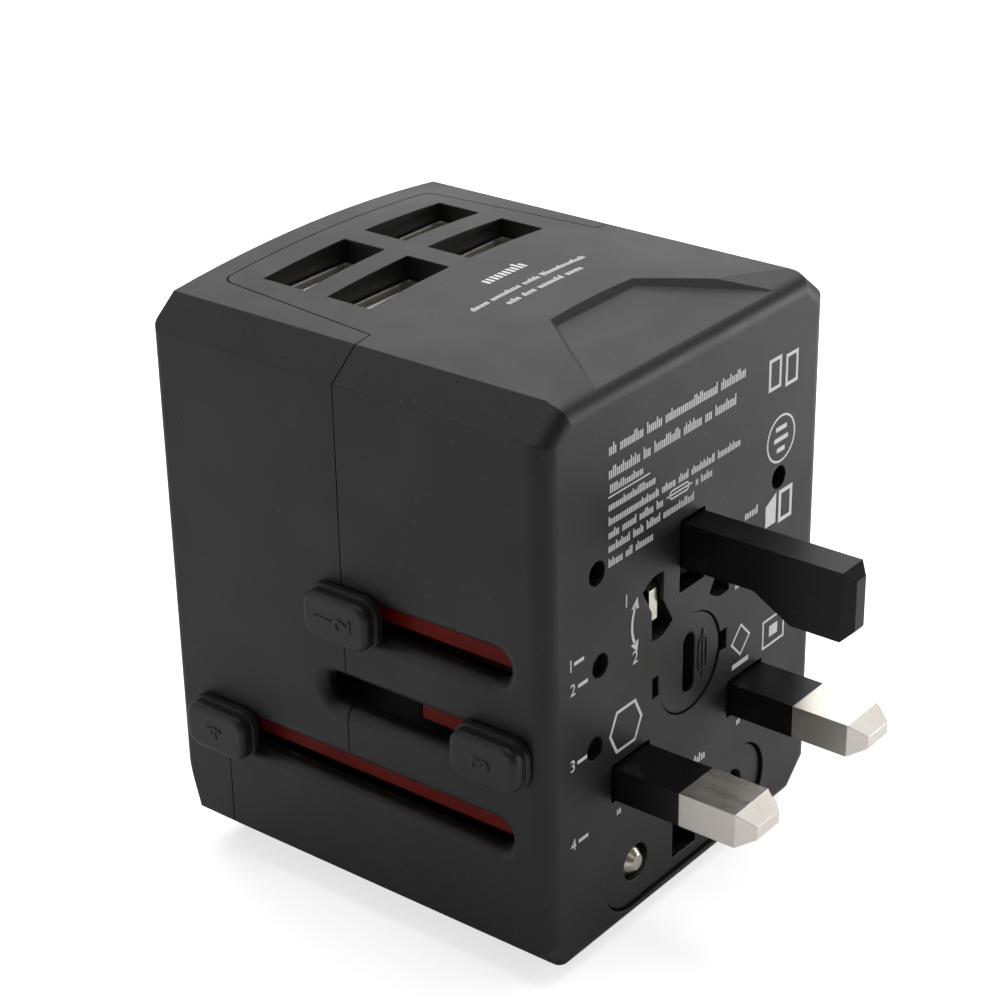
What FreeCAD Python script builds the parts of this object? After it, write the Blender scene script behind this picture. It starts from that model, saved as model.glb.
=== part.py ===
import FreeCAD, Part
import os
import Sketcher

# Universal travel adapter: a two-part moulded case with three sliding plugs.
# Lengths are millimetres. +Z is up, the plug face looks along -Y, the sliders are on -X,
# the charging ports are on top, and the origin is the middle of the underside.

doc = FreeCAD.newDocument("travel_adapter")
sheet = doc.addObject("Spreadsheet::Sheet", "sizes")

DRIVING_SIZES = (
    # the case
    ("body_width", 52.0),
    ("body_depth", 53.0),
    ("body_height", 68.5),
    ("crown_rise", 1.25),
    ("edge_run", 3.9),
    ("edge_drop", 3.1),
    ("low_edge_run", 4.6),
    ("low_edge_drop", 4.3),
    ("foot_inset", 2.4),
    ("nose_run", 8.4),
    ("nose_drop", 1.8),
    ("sole_drop", 0.85),
    ("sole_run", 16.0),
    ("heel_height", 12.0),
    ("heel_depth", 2.8),
    ("heel_foot", 1.6),
    ("face_round", 2.2),
    ("back_round", 1.2),
    ("side_wall", 2.0),
    ("front_wall", 2.2),
    ("back_wall", 2.2),
    ("floor_wall", 2.0),
    ("roof_wall", 2.7),
    ("shoulder_wall", 4.6),
    ("seam_reach", 27.0),
    ("seam_gap", 0.14),
    ("low_seam_reach", 45.5),
    ("tongue_half", 19.7),
    ("tongue_tip_half", 17.5),
    ("tongue_margin", 3.0),
    ("tongue_round", 1.6),
    # the sunk facet on the roof
    ("facet_half", 16.9),
    ("facet_back_half", 6.6),
    ("facet_reach", 11.6),
    ("facet_floor_rise", 0.9),
    ("facet_draft", 45),
    # the three-pin plug with square pins
    ("pin_line", 20.5),
    ("pin_half_spread", 11.11),
    ("earth_rise", 22.2),
    ("pin_width", 6.35),
    ("pin_thickness", 3.975),
    ("pin_reach", 17.5),
    ("sleeve_reach", 8.4),
    ("sleeve_wall", 0.65),
    ("tip_length", 2.1),
    ("tip_narrowing", 1.1),
    ("tip_thinning", 1.25),
    ("earth_width", 3.975),
    ("earth_height", 7.975),
    ("earth_reach", 20.7),
    ("earth_tip", 1.1),
    ("earth_neck_height", 5.3),
    ("earth_neck_reach", 9.0),
    ("earth_ramp_reach", 13.6),
    ("pin_clearance", 0.35),
    ("carriage_half", 2.9),
    ("arm_thickness", 3.2),
    ("arm_gap", 0.4),
    ("arm_spacing", 0.5),
    # the two-blade plug
    ("blade_line", 38.55),
    ("blade_half_spread", 6.35),
    ("blade_height", 6.3),
    ("blade_thickness", 1.5),
    ("blade_nose", 1.3),
    ("blade_boss_wall", 1.5),
    ("blade_inset", 0.6),
    ("blade_window_height", 7.7),
    ("blade_window_width", 2.15),
    ("blade_stem_radius", 1.9),
    ("stem_clearance", 0.05),
    # the round-pin plug
    ("block_floor_gap", 0.65),
    ("round_half_spread", 9.45),
    ("round_radius", 2.0),
    ("round_inset", 0.15),
    ("round_hole_radius", 2.25),
    ("round_bare", 9.0),
    ("round_dome", 1.2),
    ("round_tip_inset", 1.1),
    ("round_sleeve_wall", 0.5),
    ("block_end_half", 10.6),
    ("block_radius", 4.85),
    ("block_length", 23.5),
    ("block_clearance", 0.3),
    ("block_inset", 0.4),
    ("well_half", 2.3),
    ("well_height", 4.6),
    ("well_drop", 3.4),
    ("well_depth", 15.0),
    # the sliders on the side
    ("slot_width", 3.6),
    ("slot_lip", 1.5),
    ("slot_overcut", 0.6),
    ("us_slot_line", 37.9),
    ("us_slot_front", 5.0),
    ("us_slot_rear", 28.1),
    ("uk_slot_line", 27.65),
    ("uk_slot_front", 4.7),
    ("uk_slot_rear", 30.3),
    ("eu_slot_line", 17.5),
    ("eu_slot_front", 5.1),
    ("eu_slot_rear", 47.2),
    ("neck_half", 1.25),
    ("neck_height", 1.1),
    ("neck_drop", 0.25),
    ("web_height", 0.8),
    ("web_drop", 1.0),
    ("stop_gap", 0.65),
    ("knob_length", 9.5),
    ("knob_height", 6.2),
    ("knob_rim", 0.85),
    ("knob_cap", 1.55),
    ("knob_step", 0.3),
    ("knob_corner", 2.1),
    ("knob_round", 0.7),
    ("knob_lift", 0.15),
    ("web_start", 0.02),
    ("red_stand_off", 0.2),
    ("red_clearance", 0.08),
    ("red_thickness", 0.8),
    ("red_rise", 3.4),
    ("red_web_gap", 0.2),
    # the fuse and its cap
    ("fuse_line", 28.8),
    ("cap_radius", 5.8),
    ("cap_depth", 3.4),
    ("cap_inset", 0.2),
    ("cap_clearance", 0.2),
    ("cap_lug_radius", 7.0),
    ("cap_lug_half", 1.1),
    ("cap_slot_half", 2.55),
    ("cap_slot_radius", 1.15),
    ("cap_slot_depth", 1.8),
    ("fuse_radius", 2.6),
    ("fuse_length", 20.0),
    ("fuse_end_length", 5.0),
    ("fuse_tube_wall", 1.1),
    ("fuse_play", 0.3),
    ("fuse_can_wall", 0.3),
    ("fuse_spring_room", 2.4),
    ("fuse_spring_wire", 0.3),
    ("fuse_spring_pitch", 0.75),
    # screws and small recesses in the plug face
    ("screw_left_x", 17.3),
    ("screw_left_z", 47.1),
    ("screw_right_x", 17.0),
    ("screw_right_z", 44.7),
    ("screw_recess", 1.4),
    ("screw_head_radius", 1.3),
    ("screw_radius", 0.85),
    ("screw_boss_radius", 2.3),
    ("screw_length", 38.0),
    ("screw_seat_depth", 1.6),
    ("screw_head_height", 1.3),
    ("screw_drive_half", 0.9),
    ("screw_drive_width", 0.4),
    ("screw_drive_depth", 0.6),
    ("screw_hole_play", 0.15),
    ("rib_half", 0.8),
    ("post_reach", 42.0),
    ("dimple_high_x", 16.7),
    ("dimple_high_z", 36.1),
    ("dimple_low_x", 17.6),
    ("dimple_low_z", 26.5),
    ("dimple_depth", 1.3),
    # charging ports
    ("port_inner", 1.7),
    ("port_width", 13.4),
    ("port_height", 6.0),
    ("port_row_front", 31.1),
    ("port_row_back", 40.3),
    ("port_play", 0.2),
    ("port_sink", 2.6),
    ("shell_wall", 0.3),
    ("shell_length", 11.9),
    ("port_tongue_height", 1.84),
    ("port_tongue_drop", 3.1),
    ("board_thickness", 1.6),
    ("usb_board_margin", 2.5),
    ("power_board_drop", 16.9),
    ("power_board_margin", 2.0),
    ("core_margin", 5.5),
    ("core_width", 14.5),
    ("core_depth", 13.0),
    ("core_height", 11.0),
    ("core_leg", 3.0),
    ("core_yoke", 2.2),
    ("coil_overhang", 1.5),
    ("mains_can_radius", 4.2),
    ("mains_can_length", 14.0),
    ("output_can_radius", 2.6),
    ("output_can_height", 9.0),
    ("output_can_pitch", 7.5),
    # socket side
    ("socket_line", 24.0),
    ("socket_face_half", 19.0),
    ("socket_face_low", 15.0),
    ("socket_face_high", 55.0),
    ("socket_face_round", 5.0),
    ("socket_face_play", 0.15),
    ("socket_face_inset", 0.4),
    ("socket_flange", 1.4),
    ("socket_flange_thickness", 1.6),
    ("mouth_inner", 7.6),
    ("mouth_outer", 14.6),
    ("mouth_half", 2.25),
    ("mouth_round_radius", 2.5),
    ("mouth_blade_half", 4.0),
    ("mouth_blade_width", 2.3),
    ("mouth_earth_half", 2.45),
    ("mouth_earth_height", 8.4),
    ("contact_length", 14.5),
    ("contact_thickness", 0.8),
    # small general values
    ("rail_thickness", 0.8),
    ("plate_thickness", 1.4),
    ("fit_gap", 0.3),
)


class Length:
    """A length that carries both its spreadsheet formula and its value."""

    def __init__(self, formula, value):
        self.formula = formula
        self.value = value

    def joined(self, other, sign, value):
        return Length("(%s %s %s)" % (self.formula, sign, length(other).formula), value)

    def __add__(self, other):
        return self.joined(other, "+", self.value + length(other).value)

    def __sub__(self, other):
        return self.joined(other, "-", self.value - length(other).value)

    def __mul__(self, factor):
        return self.joined(factor, "*", self.value * length(factor).value)

    def __truediv__(self, divisor):
        return self.joined(divisor, "/", self.value / length(divisor).value)

    def __radd__(self, other):
        return length(other) + self

    def __rsub__(self, other):
        return length(other) - self

    def __rmul__(self, factor):
        return length(factor) * self

    def __neg__(self):
        return length(0) - self


def length(number):
    """A plain number as a Length; a Length stays as it is."""
    if isinstance(number, Length):
        return number
    return Length("%.6g" % number, float(number))


class Named:
    """Holds each driving size as an attribute."""


size = Named()
for row, (alias, number) in enumerate(DRIVING_SIZES, start=1):
    sheet.set("A%d" % row, alias)
    sheet.set("B%d" % row, str(number))
    sheet.setAlias("B%d" % row, alias)
    setattr(size, alias, Length("sizes." + alias, number))
doc.recompute()

kept_parts = []
TURNS = {
    "x": FreeCAD.Rotation(FreeCAD.Vector(0, 1, 0), 90),
    "y": FreeCAD.Rotation(FreeCAD.Vector(1, 0, 0), -90),
    "z": FreeCAD.Rotation(),
}
# the outline planes: the axis they are extruded along, and their turn
OUTLINE_TURNS = {
    "x": FreeCAD.Rotation(FreeCAD.Vector(1, 1, 1), 120),
    "y": FreeCAD.Rotation(FreeCAD.Vector(1, 0, 0), 90),
    "z": FreeCAD.Rotation(),
}
DIRECTIONS = {
    "x": FreeCAD.Vector(1, 0, 0),
    "y": FreeCAD.Vector(0, 1, 0),
    "z": FreeCAD.Vector(0, 0, 1),
}


def place(thing, x, y, z, turn=None):
    """Put an object's base point at x, y, z, by formula."""
    if turn is not None:
        thing.Placement = FreeCAD.Placement(FreeCAD.Vector(), turn)
    for axis, distance in (("x", x), ("y", y), ("z", z)):
        thing.setExpression("Placement.Base." + axis, length(distance).formula)
    return thing


def box(name, x_span, y_span, z_span):
    """A block between two limits on each axis."""
    block = doc.addObject("Part::Box", name)
    for side, span in (("Length", x_span), ("Width", y_span), ("Height", z_span)):
        block.setExpression(side, (length(span[1]) - span[0]).formula)
    return place(block, x_span[0], y_span[0], z_span[0])


def rod(name, axis, radius, middle, span):
    """A cylinder along an axis; middle gives its other two coordinates in x, y, z order."""
    cylinder = doc.addObject("Part::Cylinder", name)
    cylinder.setExpression("Radius", length(radius).formula)
    cylinder.setExpression("Height", (length(span[1]) - span[0]).formula)
    spots = {
        "x": (span[0], middle[0], middle[1]),
        "y": (middle[0], span[0], middle[1]),
        "z": (middle[0], middle[1], span[0]),
    }
    return place(cylinder, *spots[axis], turn=TURNS[axis])


def cone(name, axis, radii, middle, span):
    """A truncated cone along an axis, with its radius at each end of the span."""
    frustum = doc.addObject("Part::Cone", name)
    frustum.setExpression("Radius1", length(radii[0]).formula)
    frustum.setExpression("Radius2", length(radii[1]).formula)
    frustum.setExpression("Height", (length(span[1]) - span[0]).formula)
    spots = {
        "x": (span[0], middle[0], middle[1]),
        "y": (middle[0], span[0], middle[1]),
        "z": (middle[0], middle[1], span[0]),
    }
    return place(frustum, *spots[axis], turn=TURNS[axis])


def fuse(name, *pieces):
    """Join pieces into one solid."""
    joined = doc.addObject("Part::MultiFuse", name)
    joined.Shapes = list(pieces)
    joined.Refine = True
    return joined


def group(name, *pieces):
    """Hold separate solids together in one object, unjoined."""
    bundle = doc.addObject("Part::Compound", name)
    bundle.Links = list(pieces)
    return bundle


def cut(name, base, *tools):
    """Take the tools out of the base."""
    result = doc.addObject("Part::Cut", name)
    result.Base = base
    result.Tool = tools[0] if len(tools) == 1 else fuse(name + "_tools", *tools)
    result.Refine = True
    return result


def common(name, base, tool):
    """Keep what two solids share."""
    shared = doc.addObject("Part::MultiCommon", name)
    shared.Shapes = [base, tool]
    shared.Refine = True
    return shared


def rounded(name, base, radius, picks):
    """Fillet the edges that picks(edge) accepts."""
    doc.recompute()
    fillet = doc.addObject("Part::Fillet", name)
    fillet.Base = base
    value = length(radius).value
    fillet.Edges = [
        (index, value, value)
        for index, edge in enumerate(base.Shape.Edges, start=1)
        if picks(edge)
    ]
    return fillet


def outline(name, axis, points, arc_radius=None):
    """A closed outline square to an axis; the last side is an arc when arc_radius is given.

    Points are (x, z) for axis y, (y, z) for axis x and (x, y) for axis z.
    """
    sketch = doc.addObject("Sketcher::SketchObject", name)
    spots = [FreeCAD.Vector(length(u).value, length(v).value, 0) for u, v in points]
    count = len(spots)
    for index, spot in enumerate(spots):
        following = spots[(index + 1) % count]
        if arc_radius is not None and index == count - 1:
            bulge = FreeCAD.Vector(0, size.crown_rise.value, 0)
            middle = (spot + following) * 0.5 + bulge
            sketch.addGeometry(Part.Arc(spot, middle, following), False)
        else:
            sketch.addGeometry(Part.LineSegment(spot, following), False)
    last = count - 1
    arc_is_reversed = False
    if arc_radius is not None:
        arc_start = sketch.Geometry[last].StartPoint
        arc_is_reversed = arc_start.distanceToPoint(spots[last]) > 1e-6
    for index in range(count):
        end_here = 2
        start_next = 1
        if index == last and arc_is_reversed:
            end_here = 1
        if index == last - 1 and arc_is_reversed:
            start_next = 2
        nxt = (index + 1) % count
        sketch.addConstraint(Sketcher.Constraint("Coincident", index, end_here, nxt, start_next))
    for index, (u, v) in enumerate(points):
        corner = 2 if index == last and arc_is_reversed else 1
        for kind, level, distance in (("DistanceX", "Vertical", u), ("DistanceY", "Horizontal", v)):
            distance = length(distance)
            if distance.formula == "0":
                sketch.addConstraint(Sketcher.Constraint(level, -1, 1, index, corner))
                continue
            if kind == "DistanceX":
                tie = Sketcher.Constraint("DistanceX", -1, 1, index, corner, distance.value)
            else:
                tie = Sketcher.Constraint("DistanceY", -1, 1, index, corner, distance.value)
            number = sketch.addConstraint(tie)
            sketch.setExpression("Constraints[%d]" % number, distance.formula)
    if arc_radius is not None:
        tie = Sketcher.Constraint("Radius", last, length(arc_radius).value)
        number = sketch.addConstraint(tie)
        sketch.setExpression("Constraints[%d]" % number, length(arc_radius).formula)
    sketch.Placement = FreeCAD.Placement(FreeCAD.Vector(), OUTLINE_TURNS[axis])
    return sketch


def prism(name, axis, points, span, arc_radius=None):
    """An outline carried straight along its axis between the two ends of a span."""
    sketch = outline(name + "_outline", axis, points, arc_radius)
    sketch.setExpression("Placement.Base." + axis, length(span[0]).formula)
    solid = doc.addObject("Part::Extrusion", name)
    solid.Base = sketch
    solid.DirMode = "Custom"
    solid.Dir = DIRECTIONS[axis]
    solid.setExpression("LengthFwd", (length(span[1]) - span[0]).formula)
    solid.Solid = True
    return solid


def frustum(name, x_span, z_span, far, near, narrowing, thinning):
    """A pin's tip: a block that narrows and thins from y = far towards y = near."""
    wedge = doc.addObject("Part::Wedge", name)
    width = length(x_span[1]) - x_span[0]
    height = length(z_span[1]) - z_span[0]
    for limit, distance in (
        ("Xmin", length(0)), ("Xmax", width),
        ("Zmin", length(0)), ("Zmax", height),
        ("X2min", length(narrowing)), ("X2max", width - narrowing),
        ("Z2min", length(thinning)), ("Z2max", height - thinning),
        ("Ymin", length(0)), ("Ymax", length(far) - near),
    ):
        wedge.setExpression(limit, distance.formula)
    half_turn = FreeCAD.Rotation(FreeCAD.Vector(0, 0, 1), 180)
    return place(wedge, x_span[1], far, z_span[0], turn=half_turn)


def keep(part, node):
    """Name a finished sub-part and list it for writing."""
    part.Label = node
    kept_parts.append(part)
    return part


# Reference planes that everything is measured from.
front = -size.body_depth / 2
back = size.body_depth / 2
left = -size.body_width / 2
right = size.body_width / 2
roof = size.body_height
inner_left = left + size.side_wall
inner_right = right - size.side_wall
inner_front = front + size.front_wall
inner_back = back - size.back_wall
earth_line = size.pin_line + size.earth_rise
round_line = size.floor_wall + size.block_clearance + size.block_radius + size.block_floor_gap
red_outer = inner_left + size.red_stand_off


def near(value, wanted, slack=0.02):
    return abs(value - wanted) < slack


def edge_spots(edge):
    """Both ends and the middle of an edge."""
    middle = edge.valueAt((edge.FirstParameter + edge.LastParameter) / 2)
    return [edge.Vertexes[0].Point, edge.Vertexes[-1].Point, middle]


# ---------------------------------------------------------------- the case's outer form
def make_case_form():
    """The whole case as one block: crowned roof, bevelled long edges, sloped nose and heel."""
    half = size.body_width / 2
    flat_half = half - size.edge_run
    shoulder = roof - size.crown_rise
    crown_radius = (flat_half * flat_half + size.crown_rise * size.crown_rise) / (size.crown_rise * 2)
    section = prism(
        "case_section", "y",
        (
            (-flat_half, shoulder),
            (-half, shoulder - size.edge_drop),
            (-half, size.low_edge_drop),
            (size.low_edge_run - half, 0),
            (half - size.low_edge_run, 0),
            (half, size.low_edge_drop),
            (half, shoulder - size.edge_drop),
            (flat_half, shoulder),
        ),
        (front, back), crown_radius,
    )
    side = prism(
        "case_side", "x",
        (
            (front, size.sole_drop),
            (front + size.sole_run, 0),
            (back - size.heel_depth - size.heel_foot, 0),
            (back - size.heel_depth, size.heel_foot),
            (back, size.heel_height),
            (back, roof + 1),
            (front + size.nose_run + size.nose_run / size.nose_drop, roof + 1),
            (front, roof - size.nose_drop),
        ),
        (left - 1, right + 1),
    )
    block = common("case_block", section, side)

    def on_face(edge):
        return all(near(spot.y, front.value) for spot in edge_spots(edge))

    def upright_at_back(edge):
        spots = edge_spots(edge)
        return near(spots[0].x, spots[1].x) and all(near(spot.y, back.value) for spot in spots)

    softened = rounded("case_face_round", block, size.face_round, on_face)
    return rounded("case_back_round", softened, size.back_round, upright_at_back)


def make_roof_facet():
    """The sunk trapezoid on the roof, flush at the plug face and deepest at its back edge."""
    floor_front = roof - size.nose_drop
    overrun = size.facet_half - size.facet_back_half
    walls = prism(
        "facet_walls", "z",
        (
            (-size.facet_half - overrun, front - size.facet_reach),
            (size.facet_half + overrun, front - size.facet_reach),
            (size.facet_back_half, front + size.facet_reach),
            (-size.facet_back_half, front + size.facet_reach),
        ),
        (floor_front, roof + 1),
    )
    walls.setExpression("TaperAngle", size.facet_draft.formula)
    above_floor = prism(
        "facet_floor", "x",
        (
            (front - 1, floor_front),
            (front, floor_front),
            (front + size.facet_reach, floor_front + size.facet_floor_rise),
            (front + size.facet_reach * 1.5, floor_front + size.facet_floor_rise * 1.5),
            (front + size.facet_reach * 1.5, roof + 3),
            (front - 1, roof + 3),
        ),
        (left, right),
    )
    return common("roof_facet", walls, above_floor)


def make_port_cutters():
    """The four openings for the charging ports, with softly rounded corners."""
    cutters = []
    for number, (x_span, y_span) in enumerate(port_spans(), start=1):
        cutters.append(box(
            "port_cut_%d" % number, x_span, y_span, (roof - size.roof_wall - 1, roof + 2)
        ))
    return cutters


def port_spans():
    """x and y limits of each charging port opening: two columns by two rows."""
    spans = []
    for row_start in (size.port_row_front, size.port_row_back):
        y_span = (front + row_start, front + row_start + size.port_height)
        outer = size.port_inner + size.port_width
        spans.append(((-outer, -size.port_inner), y_span))
        spans.append(((size.port_inner, outer), y_span))
    return spans


def slot_places():
    """Plug name, height, front end and rear end of each slider's slot."""
    return (
        ("us", size.us_slot_line, size.us_slot_front, size.us_slot_rear),
        ("uk", size.uk_slot_line, size.uk_slot_front, size.uk_slot_rear),
        ("eu", size.eu_slot_line, size.eu_slot_front, size.eu_slot_rear),
    )


def make_slot_cutter(plug, line, slot_front, slot_rear):
    """A slider's long slot with half-round ends, through the side wall."""
    radius = size.slot_width / 2
    first = front + slot_front + radius
    last = front + slot_rear - radius
    x_span = (left - 1, left + size.side_wall + size.slot_overcut)
    return fuse(
        plug + "_slot",
        box(plug + "_slot_box", x_span, (first, last), (line - radius, line + radius)),
        rod(plug + "_slot_end_a", "x", radius, (first, line), x_span),
        rod(plug + "_slot_end_b", "x", radius, (last, line), x_span),
    )


def at_slot_mouth(edge):
    """Whether an edge runs round a slot's mouth in the outer side face."""
    spots = edge_spots(edge)
    if not all(near(spot.x, left.value) for spot in spots):
        return False
    reach = size.slot_width.value / 2 + 0.02
    for plug, line, slot_front, slot_rear in slot_places():
        low = (front + slot_front).value - 0.02
        high = (front + slot_rear).value + 0.02
        if all(abs(spot.z - line.value) < reach and low < spot.y < high for spot in spots):
            return True
    return False


def make_face_cutters():
    """Every opening in the plug face."""
    through = (front - 1, inner_front + 1)
    cutters = []
    slack = size.pin_clearance
    half_width = size.pin_width / 2 + slack
    half_thick = size.pin_thickness / 2 + slack
    for side, name in ((-1, "live"), (1, "neutral")):
        middle = side * size.pin_half_spread
        cutters.append(box(
            name + "_pin_hole", (middle - half_width, middle + half_width), through,
            (size.pin_line - half_thick, size.pin_line + half_thick),
        ))
    half_width = size.earth_width / 2 + slack
    cutters.append(box(
        "earth_pin_hole", (-half_width, half_width), through,
        (
            earth_line - size.earth_height / 2 - slack,
            earth_line + size.earth_height / 2 + slack,
        ),
    ))
    for side, name in ((-1, "left"), (1, "right")):
        for angle in (0, 10, 20, 30):
            cutters.append(turned_window("%s_blade_window_%d" % (name, angle), side, angle, through))
    cap_hole = size.cap_radius + size.cap_clearance
    cutters.append(rod("cap_hole", "y", cap_hole, (0, size.fuse_line), through))
    notch_reach = size.cap_lug_radius + size.cap_clearance
    notch_half = size.cap_lug_half + size.cap_clearance
    cutters.append(box(
        "cap_notches", (-notch_reach, notch_reach), through,
        (size.fuse_line - notch_half, size.fuse_line + notch_half),
    ))
    cutters.append(stadium("block_hole", size.block_clearance, through))
    for name, x, z in screw_places():
        cutters.append(rod(name + "_recess", "y", size.screw_recess, (x, z), (front - 1, inner_front + 0.4)))
    for name, x, z in (
        ("dimple_high", -size.dimple_high_x, size.dimple_high_z),
        ("dimple_low", -size.dimple_low_x, size.dimple_low_z),
    ):
        cutters.append(rod(name, "y", size.screw_recess, (x, z), (front - 1, front + size.dimple_depth)))
    return cutters


def turned_window(name, side, angle, span):
    """One position of a blade's window; the four positions together make its waisted outline."""
    half_width = size.blade_window_width / 2
    half_height = size.blade_window_height / 2
    window = doc.addObject("Part::Box", name)
    window.setExpression("Length", size.blade_window_width.formula)
    window.setExpression("Width", (length(span[1]) - span[0]).formula)
    window.setExpression("Height", size.blade_window_height.formula)
    turn = FreeCAD.Rotation(FreeCAD.Vector(0, 1, 0), side * angle)
    pivot_x = side * size.blade_half_spread
    window.Placement = FreeCAD.Placement(FreeCAD.Vector(), turn)
    # the box's own corner, carried round the pivot by the same turn
    corner = turn.multVec(FreeCAD.Vector(1, 0, 0))
    rise = turn.multVec(FreeCAD.Vector(0, 0, 1))
    x = pivot_x - half_width * corner.x - half_height * rise.x
    z = size.blade_line - half_width * corner.z - half_height * rise.z
    return place(window, x, span[0], z)


def stadium(name, grow, span):
    """The round-pin plug's outline: a block with two half-round ends."""
    radius = size.block_radius + grow
    end = size.block_end_half
    line = round_line
    return fuse(
        name,
        box(name + "_box", (-end, end), span, (line - radius, line + radius)),
        rod(name + "_left", "y", radius, (-end, line), span),
        rod(name + "_right", "y", radius, (end, line), span),
    )


def screw_places():
    """Name and plug-face place of each case screw."""
    return (
        ("screw_left", -size.screw_left_x, size.screw_left_z),
        ("screw_right", size.screw_right_x, size.screw_right_z),
    )


def make_cavity():
    """The hollow inside both halves of the case."""
    low_back = back - size.heel_depth - size.back_wall
    return fuse(
        "case_cavity",
        box(
            "cavity_foot", (inner_left + size.foot_inset, inner_right - size.foot_inset),
            (inner_front, low_back), (size.floor_wall, size.low_edge_drop + 1),
        ),
        box(
            "cavity_low", (inner_left, inner_right), (inner_front, low_back),
            (size.low_edge_drop, size.heel_height + 2),
        ),
        box(
            "cavity_main", (inner_left, inner_right), (inner_front, inner_back),
            (size.heel_height, roof - size.shoulder_wall),
        ),
        box(
            "cavity_roof", (inner_left + size.edge_run, inner_right - size.edge_run),
            (inner_front, inner_back), (roof - size.shoulder_wall - 1, roof - size.roof_wall),
        ),
    )


def make_splitter(name, grow):
    """The space of the plug-side half: its front, its low skirt and the tongue round the ports."""
    reach = front + size.seam_reach + grow
    skirt = box(
        name + "_skirt", (left - 1, right + 1), (front - 1, front + size.low_seam_reach + grow),
        (-1, size.eu_slot_line + grow),
    )
    bulk = box(name + "_bulk", (left - 1, right + 1), (front - 1, reach), (-1, roof + 1))
    tip = back - size.tongue_margin + grow
    tongue = prism(
        name + "_tongue", "z",
        (
            (-size.tongue_half - grow, reach - 2),
            (size.tongue_half + grow, reach - 2),
            (size.tongue_half + grow, reach),
            (size.tongue_tip_half + grow, tip),
            (-size.tongue_tip_half - grow, tip),
            (-size.tongue_half - grow, reach),
        ),
        (roof - size.shoulder_wall - 2 - grow, roof + 1),
    )

    def at_tip(edge):
        spots = edge_spots(edge)
        upright = near(spots[0].x, spots[1].x) and near(spots[0].y, spots[1].y)
        return upright and near(spots[0].y, tip.value)

    soft_tongue = rounded(name + "_tongue_round", tongue, size.tongue_round, at_tip)
    return fuse(name, bulk, skirt, soft_tongue)


def make_housings():
    """The two halves of the case, parted along the stepped seam."""
    cutters = [make_roof_facet(), make_cavity()]
    cutters += make_port_cutters()
    cutters += [make_slot_cutter(*place_of_slot) for place_of_slot in slot_places()]
    cutters += make_face_cutters()
    half = size.socket_face_half + size.socket_face_play
    low = size.socket_face_low - size.socket_face_play
    high = size.socket_face_high + size.socket_face_play
    window = box("socket_window_block", (-half, half), (inner_back - 1, back + 1), (low, high))
    cutters.append(rounded("socket_window", window, size.socket_face_round, along_y))
    sharp_shell = cut("case_shell", make_case_form(), *cutters)
    shell = rounded("case_slot_lips", sharp_shell, size.slot_lip, at_slot_mouth)

    front_half = common("front_half", shell, make_splitter("front_space", 0))
    bosses = []
    posts = []
    post_end = front + size.post_reach
    for name, x, z in screw_places():
        boss = rod(
            name + "_boss", "y", size.screw_boss_radius, (x, z),
            (inner_front - 0.5, front + size.seam_reach - 0.5),
        )
        post = rod(
            name + "_post", "y", size.screw_boss_radius, (x, z),
            (front + size.seam_reach + size.seam_gap, post_end),
        )
        wall = inner_left - 0.5 if x.value < 0 else inner_right + 0.5
        rib_x = (wall, x) if x.value < 0 else (x, wall)
        rib_z = (z - size.rib_half, z + size.rib_half)
        bosses.append(fuse(
            name + "_boss_rib", boss,
            box(name + "_front_rib", rib_x, (inner_front, front + size.seam_reach - 0.5), rib_z),
        ))
        posts.append(fuse(
            name + "_post_rib", post,
            box(name + "_back_rib", rib_x, (front + size.seam_reach + size.seam_gap, post_end), rib_z),
        ))
    holes = [
        rod(name + "_hole", "y", size.screw_radius + size.screw_hole_play, (x, z), (front + 1, post_end + 1))
        for name, x, z in screw_places()
    ]
    recesses = [
        rod(name + "_seat", "y", size.screw_recess, (x, z), (front - 1, inner_front + size.screw_seat_depth))
        for name, x, z in screw_places()
    ]
    plug_side = fuse("plug_side_solid", front_half, *bosses)
    keep(cut("plug_side_housing", plug_side, *holes, *recesses), "plug_side_housing")

    rear_half = cut("rear_half", shell, make_splitter("rear_space", size.seam_gap))
    cover = fuse("cover_solid", rear_half, *posts)
    rear_holes = [
        rod(name + "_tap", "y", size.screw_radius, (x, z), (front + 1, post_end + 1))
        for name, x, z in screw_places()
    ]
    keep(cut("socket_side_cover", cover, *rear_holes), "socket_side_cover")

    screws = []
    for name, x, z in screw_places():
        seat = inner_front + size.screw_seat_depth
        face = seat - size.screw_head_height
        shaft_end = front + size.screw_length
        head = rod(name + "_head", "y", size.screw_head_radius, (x, z), (face, seat))
        shaft = rod(name + "_shaft", "y", size.screw_radius, (x, z), (seat - 0.2, shaft_end))
        long_half = size.screw_drive_half
        thin_half = size.screw_drive_width / 2
        drive_span = (face - 0.2, face + size.screw_drive_depth)
        drive = box(
            name + "_drive_a", (x - long_half, x + long_half), drive_span, (z - thin_half, z + thin_half)
        )
        cross = box(
            name + "_drive_b", (x - thin_half, x + thin_half), drive_span, (z - long_half, z + long_half)
        )
        screws.append(cut(name + "_solid", fuse(name + "_blank", head, shaft), drive, cross))
    keep(group("case_screws", *screws), "case_screws")


def along_y(edge):
    spots = edge_spots(edge)
    return near(spots[0].x, spots[1].x) and near(spots[0].z, spots[1].z)


# ---------------------------------------------------------------- slider knobs
def knob_centre(slot_end, inward):
    """The knob's middle when its neck stands a stop gap off the slot's end."""
    step = size.neck_half + size.stop_gap
    return front + slot_end + (step if inward > 0 else -step)


uk_middle = knob_centre(size.uk_slot_front, 1)
us_middle = knob_centre(size.us_slot_rear, -1)
eu_middle = knob_centre(size.eu_slot_rear, -1)


def web_top(line):
    """Top of the thin web behind the wall, which passes below a red finger."""
    return line - size.web_drop


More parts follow.
